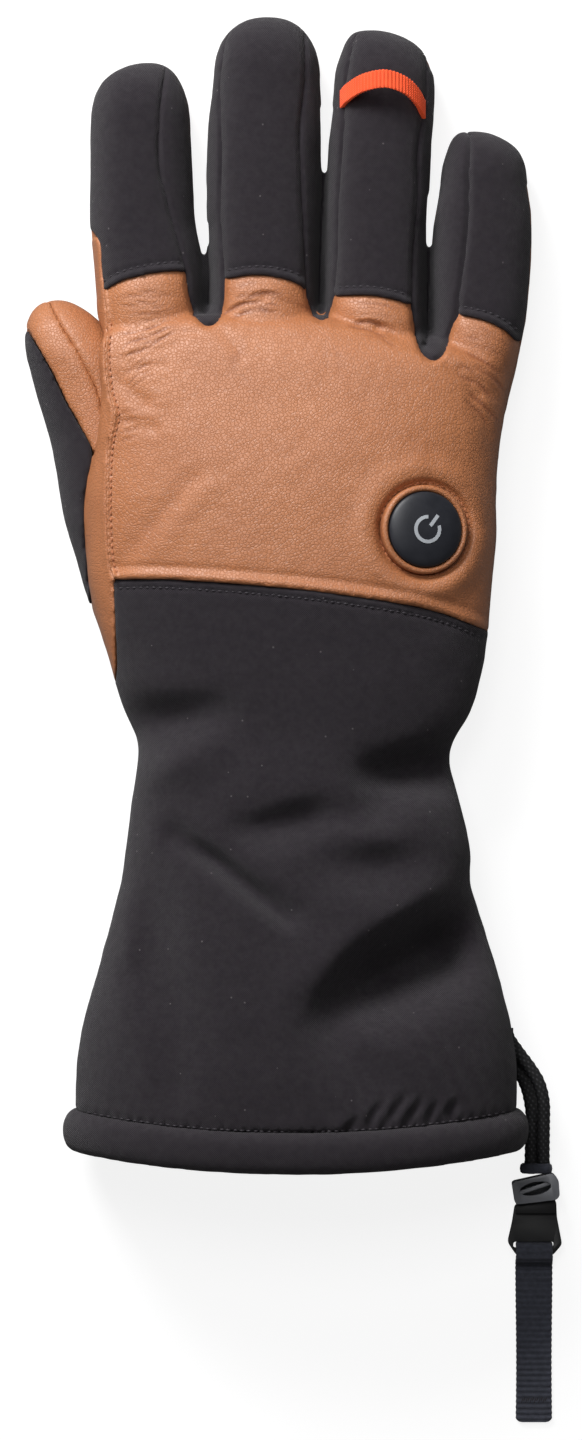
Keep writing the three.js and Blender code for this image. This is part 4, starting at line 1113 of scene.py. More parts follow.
def relief(name, points):
    """How far the top of a panel rises at each of its points"""
    x, y = points[:, 0], points[:, 1]
    strength = bpy.context.scene.glove_sizes.crease_depth
    rise = np.zeros(len(points))
    if name in ("hand_back", "palm"):
        rise += strength * fold_rise(x, y, CUFF_FOLDS)
        rise += press(points, WELT, 1.0, 1.3, pitch=2.3, ripple=0.12)
        rise += strength * leather_wrinkles(points)
    if not name.startswith(("gauntlet", "hem", "thumb")):
        for line in SIDE_SEAMS:
            rise += press(points, line, 0.9, -1.0)
    if name.endswith("gusset"):
        for line in VALLEYS:
            rise += press(points, line, 1.5, -8.0, cusp=True)
    if name == "hand_back":
        for edge in BACK_EDGES:
            rise += press(points, edge, 2.0, -0.7)
        rise += press(points, CUFF_SEAM, 1.3, 0.8, offset=0.9)
        rise += press(points, CUFF_SEAM, 1.0, -0.35, offset=3.4)
        away = np.hypot((x - BUTTON_X) / 0.96, y - BUTTON_Y)
        lit = 1 + 0.5 * ((x - BUTTON_X) - (y - BUTTON_Y)) / np.maximum(away * 1.4, 1)
        rise += 1.2 * lit * np.exp(-(((away - 17.5) / 3.4) ** 2))
        rise -= 1.5 * np.exp(-(((away - 13.2) / 1.1) ** 2))
    if name.endswith("_back") and name != "hand_back" and name != "gauntlet_back":
        for edge in BACK_EDGES:
            rise += press(points, edge, 1.2, 0.75, offset=0.7)
            rise += press(points, edge, 0.8, -0.55, offset=2.3, pitch=1.9, ripple=0.3)
    if name.startswith("gauntlet"):
        rise += press(points, CUFF_SEAM, 0.8, -0.65, offset=2.5, pitch=1.9, ripple=0.35)
        rise += press(points, CUFF_SEAM, 1.0, -0.7)
        rise += press(points, CUFF_SEAM, 0.8, 0.35, offset=1.5)
        for line, side, depth, steep, far in LAPS:
            rise += strength * lap(points, line, side, depth, steep, far)
        rise += strength * press(points, DIAGONAL, 2.4, -2.8, taper=0.35)
        rise += strength * press(points, np.array(DIAGONAL) - (3, 4), 3.0, 0.5, taper=0.35)
        for line in GATHERS:
            rise += strength * press(points, line, 1.5, -1.3, taper=0.4)
            shifted = np.array(line) + (-2.4, 0.8)
            rise += strength * press(points, shifted, 1.6, 0.6, taper=0.4)
        rise += strength * cuff_gathers(points)
        rise -= 0.6 * pleats(x, y, 0.4, 1.4)
        for centre, size, amount in SWELLS:
            far = np.hypot((x - centre[0]) / size[0], (y - centre[1]) / size[1])
            rise += strength * amount * np.exp(-(far**2))
        rise += 0.5 * strength * noise(points * (1, 1, 0.3), 26, 5)
        rise += 0.22 * strength * noise(points * (1, 1, 0.3), 9, 6)
    if name == "hem":
        rise -= 1.1 * pleats(x, y, -0.4, 1.8)
        rise += 0.35 * noise(points * (1, 0.4, 0.4), 8, 15)
        rise += 0.7 * noise(points * (1, 0.2, 0.2), 30, 16)
    return rise


def leather_wrinkles(points):
    """Fine wrinkles of the leather, deepest where the hand bends"""
    x, y = points[:, 0], points[:, 1]
    bend = np.zeros(len(points))
    for cx, cy, rx, ry, power in (
        (-38, 71, 16, 11, 1.0), (-3, 80, 14, 7, 0.8), (28, 76, 16, 7, 0.7), (56, 62, 12, 14, 0.9),
        (-40, 52, 10, 10, 1.0), (-32, 20, 20, 20, 0.35),
    ):
        bend = np.maximum(bend, power * np.exp(-(((x - cx) / rx) ** 2 + ((y - cy) / ry) ** 2)))
    warp = points + 2.5 * np.column_stack([noise(points, 9, 2), noise(points, 9, 3), 0 * x])
    lines = 1 - np.abs(noise(warp * (0.35, 1.0, 0.3), 2.6, 7)) * 2.2
    coarse = noise(points * (0.6, 1, 0.4), 7, 8)
    return bend * (-0.14 * np.clip(lines, 0, 1) + 0.1 * coarse) + 0.12 * noise(points, 14, 9)


def cuff_gathers(points):
    """Small gathers of the cuff just above the hem, strongest on the right"""
    x, y = points[:, 0], points[:, 1]
    near_hem = smooth((y + 120) / -28) * smooth((y + 160) / 8)
    right = smooth((x - 5) / 20) * smooth((62 - x) / 12)
    slant = x + 0.5 * (y + 148)
    wave = np.sin(slant * 1.15 + 1.2 * noise(points * (1, 0.3, 0), 12, 11))
    return near_hem * (0.15 + 0.85 * right) * 0.32 * wave


def skin(node, thing, smoothing=4):
    """Turns a cut panel into a soft skin with rolled edges and its own relief"""
    step = bpy.context.scene.glove_sizes.skin_step * SKIN_STEPS.get(node, FINGER_STEP)
    remeshed(thing, step, smoothing)
    points = points_of(thing.data)
    upper = smooth((points[:, 2] - 9) / 11)
    normals = normals_of(thing.data)
    fine = 0.10 * noise(points, 5.0, 4) + 0.05 * noise(points, 2.2, 12)
    points += normals * fine[:, None] * smooth((points[:, 2] - 1) / 4)[:, None]
    if node == "thumb_back":
        points += normals * (0.4 * smooth((10 - points[:, 1]) / 14))[:, None]
    rise = relief(node, points)
    if node in ("hand_back", "palm"):
        worn = sum(fan(points, *values, 50 + seed) for seed, values in enumerate(FANS))
        rise += worn
        # Painted shade: the depth of each wrinkle is kept so that the leather's colour darkens in its
        # creases
        mark = thing.data.attributes.new("worn", "FLOAT", "POINT")
        mark.data.foreach_set("value", np.clip(-2.2 * worn, 0, 0.5).astype(np.float32))
    points[:, 2] += rise * upper
    points[:, 2] = np.maximum(points[:, 2], 0)
    move_points(thing.data, points)
    shade_smooth(thing.data)
    return thing


def dress(thing, node, finish, body="glove"):
    """Gives a piece its finish and its body, and hides the CAD node that it stands for"""
    thing.data.materials.clear()
    thing.data.materials.append(finish_of(finish))
    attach(thing, body)
    if node:
        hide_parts(node)
    return thing


# Shader groups and materials


def feed(made, inputs):
    """Links sockets to the inputs of a shader node, or gives them plain values"""
    for name, value in inputs.items():
        if isinstance(value, bpy.types.NodeSocket):
            made.id_data.links.new(value, made.inputs[name])
        else:
            made.inputs[name].default_value = value


def node(tree, kind, inputs=None, **settings):
    """The outputs of a new shader node"""
    made = tree.nodes.new(f"ShaderNode{kind}")
    for name, value in settings.items():
        setattr(made, name, value)
    feed(made, inputs or {})
    return made.outputs


def maths(tree, operation, *values):
    """The result of a maths node"""
    return node(tree, "Math", dict(enumerate(values)), operation=operation)[0]


def mixed(tree, factor, first, second, blend="MIX"):
    """The result of two colours mixed"""
    inputs = {"Factor": factor, "A": first, "B": second}
    return node(tree, "Mix", inputs, data_type="RGBA", blend_type=blend)["Result"]


def placed(tree, group, inputs):
    """The outputs of a node group placed in a material with its own values"""
    made = tree.nodes.new("ShaderNodeGroup")
    made.node_tree = group
    feed(made, inputs)
    return made.outputs


def group_of(name, inputs, outputs, fill):
    """A node group with named sockets, filled when it is first asked for"""
    if name in bpy.data.node_groups:
        return bpy.data.node_groups[name]
    group = bpy.data.node_groups.new(name, "ShaderNodeTree")
    for label, value in inputs.items():
        kind = "NodeSocketColor" if isinstance(value, tuple) else "NodeSocketFloat"
        group.interface.new_socket(name=label, in_out="INPUT", socket_type=kind).default_value = value
    for label, kind in outputs.items():
        group.interface.new_socket(name=label, in_out="OUTPUT", socket_type=f"NodeSocket{kind}")
    given = group.nodes.new("NodeGroupInput").outputs
    results = group.nodes.new("NodeGroupOutput")
    feed(results, dict(zip(outputs, fill(group, given, node(group, "TexCoord")["Object"]))))
    return group


def fill_mottle(tree, given, place):
    """Two colours mixed in soft clouds"""
    cloud = node(tree, "TexNoise", {
        "Vector": place, "Scale": given["Scale"], "Detail": 5, "Roughness": 0.6,
    })
    spread = node(tree, "MapRange", {"Value": cloud["Fac"], "From Min": 0.35, "From Max": 0.68})
    mask = maths(tree, "MULTIPLY", spread["Result"], given["Amount"])
    return mixed(tree, mask, given["Colour"], given["Other colour"]), mask


def fill_weave(tree, given, place):
    """Fine crossing yarns"""
    parts = node(tree, "SeparateXYZ", {0: place})
    waves = []
    for axis in ("X", "Y"):
        turn = maths(tree, "MULTIPLY", parts[axis], given["Yarns per metre"])
        waves.append(maths(tree, "SINE", maths(tree, "MULTIPLY", turn, 2 * math.pi)))
    slub = node(tree, "TexNoise", {"Vector": place, "Scale": 900, "Detail": 4})["Fac"]
    return (maths(tree, "MULTIPLY_ADD", slub, given["Slubs"], maths(tree, "MULTIPLY", *waves)),)


def fill_lint(tree, given, place):
    """Sparse small specks"""
    cells = node(tree, "TexVoronoi", {"Vector": place, "Scale": given["Specks per metre"]})
    small = maths(tree, "LESS_THAN", cells["Distance"], given["Size"])
    few = maths(tree, "GREATER_THAN", node(tree, "SeparateXYZ", {0: cells["Color"]})["X"], 0.55)
    return (maths(tree, "MULTIPLY", small, few),)


def fill_grain(tree, given, place):
    """Leather grain: small cells, pores and drawn-out creases"""
    bend = node(tree, "TexNoise", {"Vector": place, "Scale": 350, "Detail": 3})["Color"]
    shift = node(tree, "VectorMath", {0: bend, 1: (0.0012,) * 3, 2: place}, operation="MULTIPLY_ADD")
    cells = node(tree, "TexVoronoi", {
        "Vector": shift["Vector"], "Scale": given["Cells per metre"],
    }, feature="DISTANCE_TO_EDGE")
    pits = node(tree, "MapRange", {"Value": cells["Distance"], "From Min": 0.0, "From Max": 0.16})
    line = node(tree, "TexNoise", {
        "Vector": place, "Scale": 160, "Detail": 6, "Roughness": 0.62, "Distortion": 0.6,
    })
    height = maths(tree, "MULTIPLY_ADD", line["Fac"], given["Creases"], pits["Result"])
    return height, pits["Result"]


def rgba(value):
    """A colour with full cover"""
    return (*value, 1.0)


def scaled(tone, amount, more=0.0):
    """A lighter or darker tone"""
    return tuple(min(amount * c + more, 1) for c in tone)


def mottle(tree, first, second, scale, amount):
    """The colour and the mask of two clouded colours"""
    group = group_of("Mottle", {
        "Colour": (0.5, 0.5, 0.5, 1), "Other colour": (0.3, 0.3, 0.3, 1), "Scale": 60.0, "Amount": 0.5,
    }, {"Colour": "Color", "Mask": "Float"}, fill_mottle)
    return placed(tree, group, {
        "Scale": scale, "Amount": amount, "Colour": rgba(first), "Other colour": rgba(second),
    })


def woven(tree, yarns, slubs, distance, strength):
    """The normal of a fabric with crossing yarns"""
    group = group_of(
        "Weave", {"Yarns per metre": 2500.0, "Slubs": 0.5}, {"Height": "Float"}, fill_weave
    )
    weave = placed(tree, group, {"Yarns per metre": yarns, "Slubs": slubs})
    return bump(tree, weave["Height"], distance, strength)


def bump(tree, height, distance, strength):
    """The normal of a bump"""
    return node(tree, "Bump", {
        "Distance": distance, "Strength": strength, "Height": height,
    })["Normal"]


def between(tree, mask, low, high):
    """A mask spread between two values"""
    return node(tree, "MapRange", {"Value": mask, "To Min": low, "To Max": high})["Result"]


def start_material(name):
    """An empty material, its tree and its shader"""
    material = bpy.data.materials.new(name)
    material.use_nodes = True
    return material, material.node_tree, material.node_tree.nodes["Principled BSDF"]


def finish_of(name):
    """The material of a finish, built when it is first asked for"""
    return bpy.data.materials.get(name) or FINISHES[name][0](name)


def chosen():
    """The colours that the user has chosen"""
    return bpy.context.scene.glove_colours


def tan_leather(name):
    """Smooth tan leather with a fine grain, darkened with painted shade in its creases"""
    tones = chosen()
    material, tree, shader = start_material(name)
    cloud = mottle(tree, tones.leather, tones.leather_dark, 55.0, 0.34)
    grain = placed(tree, group_of(
        "Grain", {"Cells per metre": 900.0, "Creases": 0.6}, {"Height": "Float", "Pits": "Float"},
        fill_grain,
    ), {"Cells per metre": 1050.0, "Creases": 0.75})
    pitted = mixed(tree, 0.16, cloud["Colour"], grain["Pits"], "MULTIPLY")
    # Painted shade: the creases of the leather's wrinkles are darkened with a deep tan, as much as they
    # are deep
    worn = node(tree, "Attribute", attribute_name="worn")["Fac"]
    red, *rest = tones.leather_dark
    crease = rgba((0.42 * red, *(0.3 * c for c in rest)))
    feed(shader, {
        "Base Color": mixed(tree, worn, pitted, crease),
        "Roughness": between(tree, cloud["Mask"], 0.46, 0.58),
        "Normal": bump(tree, grain["Height"], 0.00013, 0.7),
        "Specular IOR Level": 0.5, "Coat Weight": 0.25, "Coat Roughness": 0.5,
    })
    return material


def black_softshell(name):
    """Matt black stretch fabric with a little lint"""
    tones = chosen()
    material, tree, shader = start_material(name)
    cloud = mottle(tree, tones.softshell, tones.softshell_light, 520.0, 0.75)
    lint = placed(tree, group_of(
        "Lint", {"Specks per metre": 230.0, "Size": 0.06}, {"Mask": "Float"}, fill_lint
    ), {"Specks per metre": 230.0, "Size": 0.06})
    feed(shader, {
        "Base Color": mixed(tree, lint["Mask"], cloud["Colour"], rgba(tones.lint)),
        "Roughness": between(tree, cloud["Mask"], 0.82, 0.7),
        "Normal": woven(tree, 1900.0, 1.1, 0.00016, 0.8),
        "Specular IOR Level": 0.3, "Sheen Weight": 0.12, "Sheen Roughness": 0.45,
    })
    return material


def orange_webbing(name):
    """Bright narrow webbing, brightened further by a painted glow of its own colour"""
    orange = chosen().orange
    material, tree, shader = start_material(name)
    feed(shader, {
        "Base Color": mottle(tree, orange, scaled(orange, 0.72), 400.0, 0.5)["Colour"],
        "Normal": woven(tree, 1500.0, 0.6, 0.00014, 0.9), "Roughness": 0.62, "Sheen Weight": 0.1,
        # Painted glow: the webbing gives off a little light of its own colour, though it is no lamp
        "Emission Color": rgba(orange), "Emission Strength": 0.12,
    })
    return material


def dark_webbing(name):
    """Dark ribbed webbing"""
    tone = chosen().webbing
    material, tree, shader = start_material(name)
    feed(shader, {
        "Base Color": mottle(tree, tone, scaled(tone, 2.1), 700.0, 0.6)["Colour"],
        "Normal": woven(tree, 2100.0, 0.8, 0.0001, 0.8), "Roughness": 0.7, "Sheen Weight": 0.1,
    })
    return material


def braided_cord(name):
    """Dark braid with light flecks where the yarns cross"""
    tones = chosen()
    material, tree, shader = start_material(name)
    fleck = node(tree, "Attribute", attribute_name="fleck")["Fac"]
    feed(shader, {
        "Base Color": mixed(tree, fleck, rgba(tones.braid), rgba(tones.fleck)),
        "Normal": woven(tree, 2600.0, 0.8, 0.0001, 0.6), "Roughness": 0.6,
    })
    return material


def moulded(name, tone, roughness, level=0.5):
    """Moulded plastic or rubber with a fine spark texture"""
    material, tree, shader = start_material(name)
    cloud = mottle(tree, tone, scaled(tone, 1.35, 0.003), 260.0, 0.5)
    place = node(tree, "TexCoord")["Object"]
    spark = node(tree, "TexNoise", {"Vector": place, "Scale": 2600, "Detail": 3})["Fac"]
    feed(shader, {
        "Base Color": cloud["Colour"],
        "Roughness": between(tree, cloud["Mask"], roughness, roughness + 0.14),
        "Normal": bump(tree, spark, 0.00006, 0.5), "Specular IOR Level": level,
    })
    return material


def thread(name, tone):
    """Sewing thread"""
    material, tree, shader = start_material(name)
    feed(shader, {
        "Base Color": mottle(tree, tone, scaled(tone, 1.6), 1500.0, 0.6)["Colour"],
        "Roughness": 0.6, "Sheen Weight": 0.1,
    })
    return material


# Each finish: what builds its material, and the name of its slot
FINISHES = {
    "tan leather": (tan_leather, "tan_leather"),
    "black softshell": (black_softshell, "softshell"),
    "orange webbing": (orange_webbing, "orange_webbing"),
    "dark webbing": (dark_webbing, "dark_webbing"),
    "braided cord": (braided_cord, "braided_cord"),
    "grey plastic": (lambda name: moulded(name, chosen().lock, 0.38), "grey_plastic"),
    "black plastic": (lambda name: moulded(name, (0.009, 0.009, 0.0095), 0.5), "grey_plastic"),
    "dark plastic": (lambda name: moulded(name, (0.01, 0.01, 0.011), 0.5), "dark_plastic"),
    "button rubber": (lambda name: moulded(name, chosen().button, 0.42, 0.45), "button_rubber"),
    "printed mark": (lambda name: moulded(name, chosen().mark, 0.45), "button_rubber"),
    "black thread": (lambda name: thread(name, chosen().softshell), "softshell"),
    "tan thread": (lambda name: thread(name, chosen().leather_dark), "tan_leather"),
}


# Operators


class GLOVE_OT_stage(bpy.types.Operator):
    """The floor, the soft studio light and the camera above the glove"""

    bl_idname = "glove.stage"
    bl_label = "Stage"

    def execute(self, context):
        scene = context.scene
        tones = scene.glove_colours
        size = 4.0
        floor = object_of("floor", mesh_of("floor", np.array([
            [-size, -size, 0], [size, -size, 0], [size, size, 0], [-size, size, 0],
        ]) / MM, [[0, 1, 2, 3]]))
        material, tree, shader = start_material("studio floor")
        seen = node(tree, "LightPath")["Is Camera Ray"]
        feed(shader, {
            "Base Color": mottle(tree, tones.floor, scaled(tones.floor, 0.97), 3.0, 0.5)["Colour"],
            "Roughness": 0.9, "Emission Color": rgba((1, 1, 1)),
            "Emission Strength": maths(tree, "MULTIPLY", seen, FLOOR_GLOW),
        })
        floor.data.materials.append(material)

        world = bpy.data.worlds.new("studio")
        world.use_nodes = True
        sky = world.node_tree.nodes["Background"]
        feed(sky, {"Color": rgba((1, 1, 1)), "Strength": SKY_STRENGTH})
        scene.world = world
        self.lamp("key", (-0.44, 0.84, 0.68), 0.5, 18.0)
        self.lamp("above", (-0.14, 0.5, 1.5), 0.55, 7.5)
        scene.view_settings.view_transform = "Standard"
        scene.view_settings.look = "None"

        lens = bpy.data.cameras.new("camera")
        lens.sensor_fit = "VERTICAL"
        lens.sensor_height = 24
        seen = PHOTO_HEIGHT * MM_PER_PIXEL * MM
        lens.lens = lens.sensor_height * (CAMERA_HEIGHT - SILHOUETTE_Z) / seen
        lens.clip_end = 20
        camera = bpy.data.objects.new("camera", lens)
        scene.collection.objects.link(camera)
        x = (PHOTO_WIDTH / 2 - PHOTO_ZERO[0]) * MM_PER_PIXEL * MM
        y = (PHOTO_ZERO[1] - PHOTO_HEIGHT / 2) * MM_PER_PIXEL * MM
        camera.location = (x, y, CAMERA_HEIGHT)
        scene.camera = camera
        return {"FINISHED"}

    def lamp(self, name, place, size, power):
        """A square soft light that faces the glove"""
        lamp = bpy.data.lights.new(name, "AREA")
        lamp.size = size
        lamp.energy = power
        thing = bpy.data.objects.new(name, lamp)
        bpy.context.scene.collection.objects.link(thing)
        thing.location = place
        aim = Vector((0, 0, SILHOUETTE_Z)) - Vector(place)
        thing.rotation_euler = aim.to_track_quat("-Z", "Y").to_euler()


def frames_along(path):
    """The way along a path, and two ways across it, at each of its points"""
    way = direction(path)
    up = np.array([0.0, 0.0, 1.0])
    side = np.cross(way, up)
    side /= np.linalg.norm(side, axis=1)[:, None]
    over = np.cross(side, way)
    return way, side, over


def braid_tube(name, path, diameter):
    """A braided tube round a path: crossing yarns stand out of it"""
    count = 36
    _, side, over = frames_along(path)
    run = run_along(path)
    angle = np.linspace(0, 2 * math.pi, count, endpoint=False)[None, :]
    turns = run[:, None] / BRAID_PITCH * 2 * math.pi
    one = np.cos(BRAID_YARNS * (angle + turns / BRAID_YARNS * BRAID_SLANT))
    two = np.cos(BRAID_YARNS * (angle - turns / BRAID_YARNS * BRAID_SLANT))
    over_one = np.sign(np.sin(BRAID_YARNS * angle) * np.sin(turns * BRAID_SLANT))
    crest = np.where(over_one > 0, one, two)
    radius = diameter / 2 * (0.98 + 0.045 * crest)
    points = (
        path[:, None, :] + side[:, None, :] * (np.cos(angle) * radius)[..., None]
        + over[:, None, :] * (np.sin(angle) * radius)[..., None]
    )
    mesh = ring_mesh(name, points)
    fleck = mesh.attributes.new("fleck", "FLOAT", "POINT")
    light = np.clip((crest - 0.1) * 1.2, 0, 1) * np.where(over_one > 0, 0.9, 0.45)
    fleck.data.foreach_set("value", light.ravel().astype(np.float32))
    shade_smooth(mesh)
    return object_of(name, mesh)


class GLOVE_OT_cords(bpy.types.Operator):
    """The two runs of the drawcord, with the lock and the pull that hang on them"""

    bl_idname = "glove.cords"
    bl_label = "Drawcord, lock and pull"

    def execute(self, context):
        lock = self.lock_block()
        plate = self.lock_plate()
        pull = self.pull()
        bartack = self.bartack()
        band = self.band()
        for name, route in (("outer", OUTER_RUN), ("inner", INNER_RUN)):
            path = curve_through(route, 0.22)
            cord = braid_tube(f"cord_{name}", path, CORD_DIAMETER)
            dress(cord, f"drawcord_{name}", "braided cord")
        return {"FINISHED"}

    def lock_block(self):
        """The grey block with its oval window"""
        shape = round_outline(LOCK_SHAPE, 1.0)
        block = slab_object("lock_block", shape, 0, LOCK_THICKNESS)
        turn = LOCK_WINDOW["turn"]
        angle = np.linspace(0, 2 * math.pi, 40, endpoint=False)
        oval = np.column_stack([
            LOCK_WINDOW["long"] * np.cos(angle), LOCK_WINDOW["short"] * np.sin(angle),
        ])
        across = np.array([[math.cos(turn), math.sin(turn)], [-math.sin(turn), math.cos(turn)]])
        oval = oval @ across + (LOCK_WINDOW["x"], LOCK_WINDOW["y"])
        window = slab_object("window", oval, 3, LOCK_THICKNESS + 2)
        carve(block, "DIFFERENCE", window)
        rib_line = np.array([[-4.4, -1.3], [4.3, 1.6]]) + (LOCK_WINDOW["x"], LOCK_WINDOW["y"])
        way = (rib_line[1] - rib_line[0]) / np.linalg.norm(rib_line[1] - rib_line[0])
        out = np.array([-way[1], way[0]]) * 0.55
        rib = slab_object("rib", np.array([
            rib_line[0] - out, rib_line[1] - out, rib_line[1] + out, rib_line[0] + out,
        ]), 2.8, LOCK_THICKNESS - 0.9)
        carve(block, "UNION", rib)
        soften(block, 0.45)
        return dress(block, "cord_lock", "grey plastic")

    def lock_plate(self):
        """The black plate below the block, with the slot of the pull"""
        shape = round_outline(PLATE_SHAPE, 1.0)
        plate = slab_object("lock_plate", shape, 0, PLATE_THICKNESS)
        slot = slab_object("slot", round_outline([
            [SLOT["left"], SLOT["bottom"]], [SLOT["right"], SLOT["bottom"]],
            [SLOT["right"], SLOT["top"]], [SLOT["left"], SLOT["top"]],
        ], 0.8), -1, PLATE_THICKNESS + 1)
        carve(plate, "DIFFERENCE", slot)
        neck = slab_object("neck", NECK_SHAPE, 0.4, PLATE_THICKNESS + 1.6)
        carve(plate, "UNION", neck)
        soften(plate, 0.5)
        return dress(plate, "cord_lock", "black plastic")

    def pull(self):
        """The ribbed pull: up through the slot, over its bar and down to the surface"""
        bar_top = PLATE_THICKNESS + 0.3 + TAB_THICKNESS / 2
        slot_y = (SLOT["top"] + SLOT["bottom"]) / 2
        bar_far = PLATE_END_Y - 0.3 - TAB_THICKNESS / 2
        line = [
            [slot_y, 0.6], [slot_y, bar_top - 1.2], [slot_y - 1.0, bar_top], [bar_far + 1.0, bar_top],
            [bar_far, bar_top - 1.2], [bar_far - 0.8, TAB_THICKNESS + 1.0],
            [bar_far - 2.6, TAB_THICKNESS / 2 + 0.1], [-200, TAB_THICKNESS / 2 + 0.15],
            [-218, TAB_THICKNESS / 2 + 0.5], [TAB["end"] - 1.6, TAB_THICKNESS / 2 + 0.1],
        ]
        path = curve_through(line, 0.16)
        run = run_along(path)
        rib = np.sin(2 * math.pi * run / 1.6)
        half = np.full(len(path), TAB["width"] / 2) + 0.06 * rib
        left = run[-1] - run
        half -= np.where(left < 1.6, 1.6 - np.sqrt(np.clip(1.6**2 - (1.6 - left) ** 2, 0, None)), 0)
        half += 0.12 * np.sin(run / 9.0)
        thick = TAB_THICKNESS / 2 * (0.8 + 0.2 * rib)
        tab = band_object("pull_webbing", np.column_stack([np.full(len(path), TAB["x"]), path]),
                          np.array([-1.0, 0, 0]), half, thick)
        points = points_of(tab.data)
        points[:, 2] = np.maximum(points[:, 2], 0.02)
        move_points(tab.data, points)
        return dress(tab, "pull_tab", "dark webbing")

    def bartack(self):
        """Rows of thread that close the pull near its end"""
        tack = stitch_object("pull_bartack", [
            (np.array([TAB["x"] + x, TAB["end"] + 4.6 + 0.35 * (k % 2), TAB_THICKNESS + 0.1]),
             np.array([0.35, 0.94, 0]), np.array([0, 0, 1.0]))
            for k, x in enumerate(np.arange(-3.4, 3.5, 0.62))
        ], 1.7, 0.4)
        return dress(tack, None, "black thread")

    def band(self):
        """The black keeper round both runs just above the lock"""
        angle = np.linspace(0, 2 * math.pi, 40, endpoint=False)
        wide = KEEPER["half_width"] * np.sign(np.cos(angle)) * np.abs(np.cos(angle)) ** 0.5
        high = KEEPER["half_height"] * np.sign(np.sin(angle)) * np.abs(np.sin(angle)) ** 0.7
        rings = [
            np.column_stack([
                KEEPER["x"] + grow * wide, np.full(len(angle), y), KEEPER["z"] + grow * high,
            ])
            for y, grow in (
                (-166.6, 0.86), (-166.2, 0.98), (-165.2, 1.02), (-164.2, 0.98), (-163.7, 0.86),
            )
        ]
        mesh = ring_mesh("cord_keeper", rings)
        orient(mesh)
        shade_smooth(mesh)
        keeper = object_of("cord_keeper", mesh)
        return dress(keeper, None, "dark webbing")


def round_outline(points, radius):
    """An outline with its corners rounded"""
    p = np.array(points, dtype=float)
    out = []
    for a, b, c in zip(np.roll(p, 1, axis=0), p, np.roll(p, -1, axis=0)):
        one, two = a - b, c - b
        reach = min(radius, 0.45 * np.linalg.norm(one), 0.45 * np.linalg.norm(two))
        one, two = b + one / np.linalg.norm(one) * reach, b + two / np.linalg.norm(two) * reach
        for t in np.linspace(0, 1, 5):
            out.append((1 - t) ** 2 * one + 2 * t * (1 - t) * b + t**2 * two)
    return np.array(out)


def slab_object(name, outline, low, high):
    """An upright slab over an outline"""
    outline = np.asarray(outline, dtype=float)
    rings = [np.column_stack([outline, np.full(len(outline), z)]) for z in (low, high)]
    thing = object_of(name, ring_mesh(name, rings))
    orient(thing.data)
    return thing


def soften(thing, radius):
    """Rounds the edges of a moulded piece"""
    bevel = thing.modifiers.new("Bevel", "BEVEL")
    bevel.width = radius * MM
    bevel.segments = 3
    bevel.limit_method = "ANGLE"
    bevel.angle_limit = math.radians(40)
    bevel.harden_normals = True
    settle(thing)
    shade_smooth(thing.data)


def band_object(name, path, across, half, thick):
    """A flat band with rounded edges round a path"""
    way = direction(path)
    lift = np.cross(across, way)
    lift /= np.linalg.norm(lift, axis=1)[:, None]
    edge = np.linspace(-math.pi / 2, math.pi / 2, 7)
    wide = np.linspace(-0.92, 0.92, 13)
    section = (
        [(u, -1.0, 0.0) for u in wide]
        + [(0.92, math.sin(a), math.cos(a)) for a in edge[1:-1]]
        + [(u, 1.0, 0.0) for u in wide[::-1]]
        + [(-0.92, -math.sin(a), -math.cos(a)) for a in edge[1:-1]]
    )
    rings = []
    for k, point in enumerate(path):
        rings.append([
            point + across * (u * half[k] + bulge * 0.08 * half[k]) + lift[k] * v * thick[k]
            for u, v, bulge in section
        ])
    mesh = ring_mesh(name, rings)
    orient(mesh)
    shade_smooth(mesh)
    return object_of(name, mesh)


class GLOVE_OT_backs(bpy.types.Operator):
    """The black backs of the four fingers"""

    bl_idname = "glove.backs"
    bl_label = "Finger backs"

    def execute(self, context):
        for name in ("index_back", "middle_back", "ring_back", "little_back"):
            cut_panel(name, "black softshell")
        return {"FINISHED"}


class GLOVE_OT_gussets(bpy.types.Operator):
    """The black strips that run down one finger, round the crotch and up the next"""

    bl_idname = "glove.gussets"
    bl_label = "Finger gussets"

    def execute(self, context):
        for name in ("index_middle_gusset", "middle_ring_gusset", "ring_little_gusset"):
            cut_panel(name, "black softshell")
        return {"FINISHED"}


def cut_panel(node, finish):
    """Cuts one panel out of the glove's wall and finishes it"""
    panel = copy_of(shop()["wall"], f"{node}_skin")
    carve(panel, "INTERSECT", loop_cutter(node, SEAM_OVERLAP))
    if node == "hand_back":
        open_for_button(panel)
    skin(node, panel)
    dress(panel, node, finish)


def button_frame():
    """The button's centre on the surface and the axes that follow the slope there"""
    reach = 6.0
    x, y = np.array([BUTTON_X]), np.array([BUTTON_Y])
    slope_x = (top_of_glove(x + reach, y) - top_of_glove(x - reach, y))[0] / (2 * reach)
    slope_y = (top_of_glove(x, y + reach) - top_of_glove(x, y - reach))[0] / (2 * reach)
    foot, head = (
        (Vector(low) + Vector(high)) / 2 for low, high in map(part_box, ("button_base", "power_button"))
    )
    plain = Vector((-slope_x, -slope_y, 1)).normalized()
    if (head - foot).angle(plain) > 0.2:
        raise RuntimeError("the button's slope and its solids disagree")
    origin = Vector((BUTTON_X, BUTTON_Y, float(top_of_glove(x, y)[0])))
    return origin, plain


def button_points(points):
    """Points of the button's own frame, put in their place on the glove"""
    origin, normal = button_frame()
    turn = np.array(Vector((0, 0, 1)).rotation_difference(normal).to_matrix())
    return np.asarray(points) @ turn.T + np.array(origin)


def turned_object(name, profile, segments=96):
    """A turned piece in the button's frame, closed on its axis or on itself"""
    profile = np.array(profile)
    angle = np.linspace(0, 2 * math.pi, segments, endpoint=False)
    rings = np.stack([
        np.column_stack([r * np.cos(angle), r * np.sin(angle), np.full(segments, z)])
        for r, z in profile
    ])
    faces = ring_faces(len(rings), segments, closed=bool(profile[0][0] > 0.05))
    mesh = mesh_of(name, button_points(rings.reshape(-1, 3)), faces)
    orient(mesh)
    shade_smooth(mesh)
    return object_of(name, mesh)


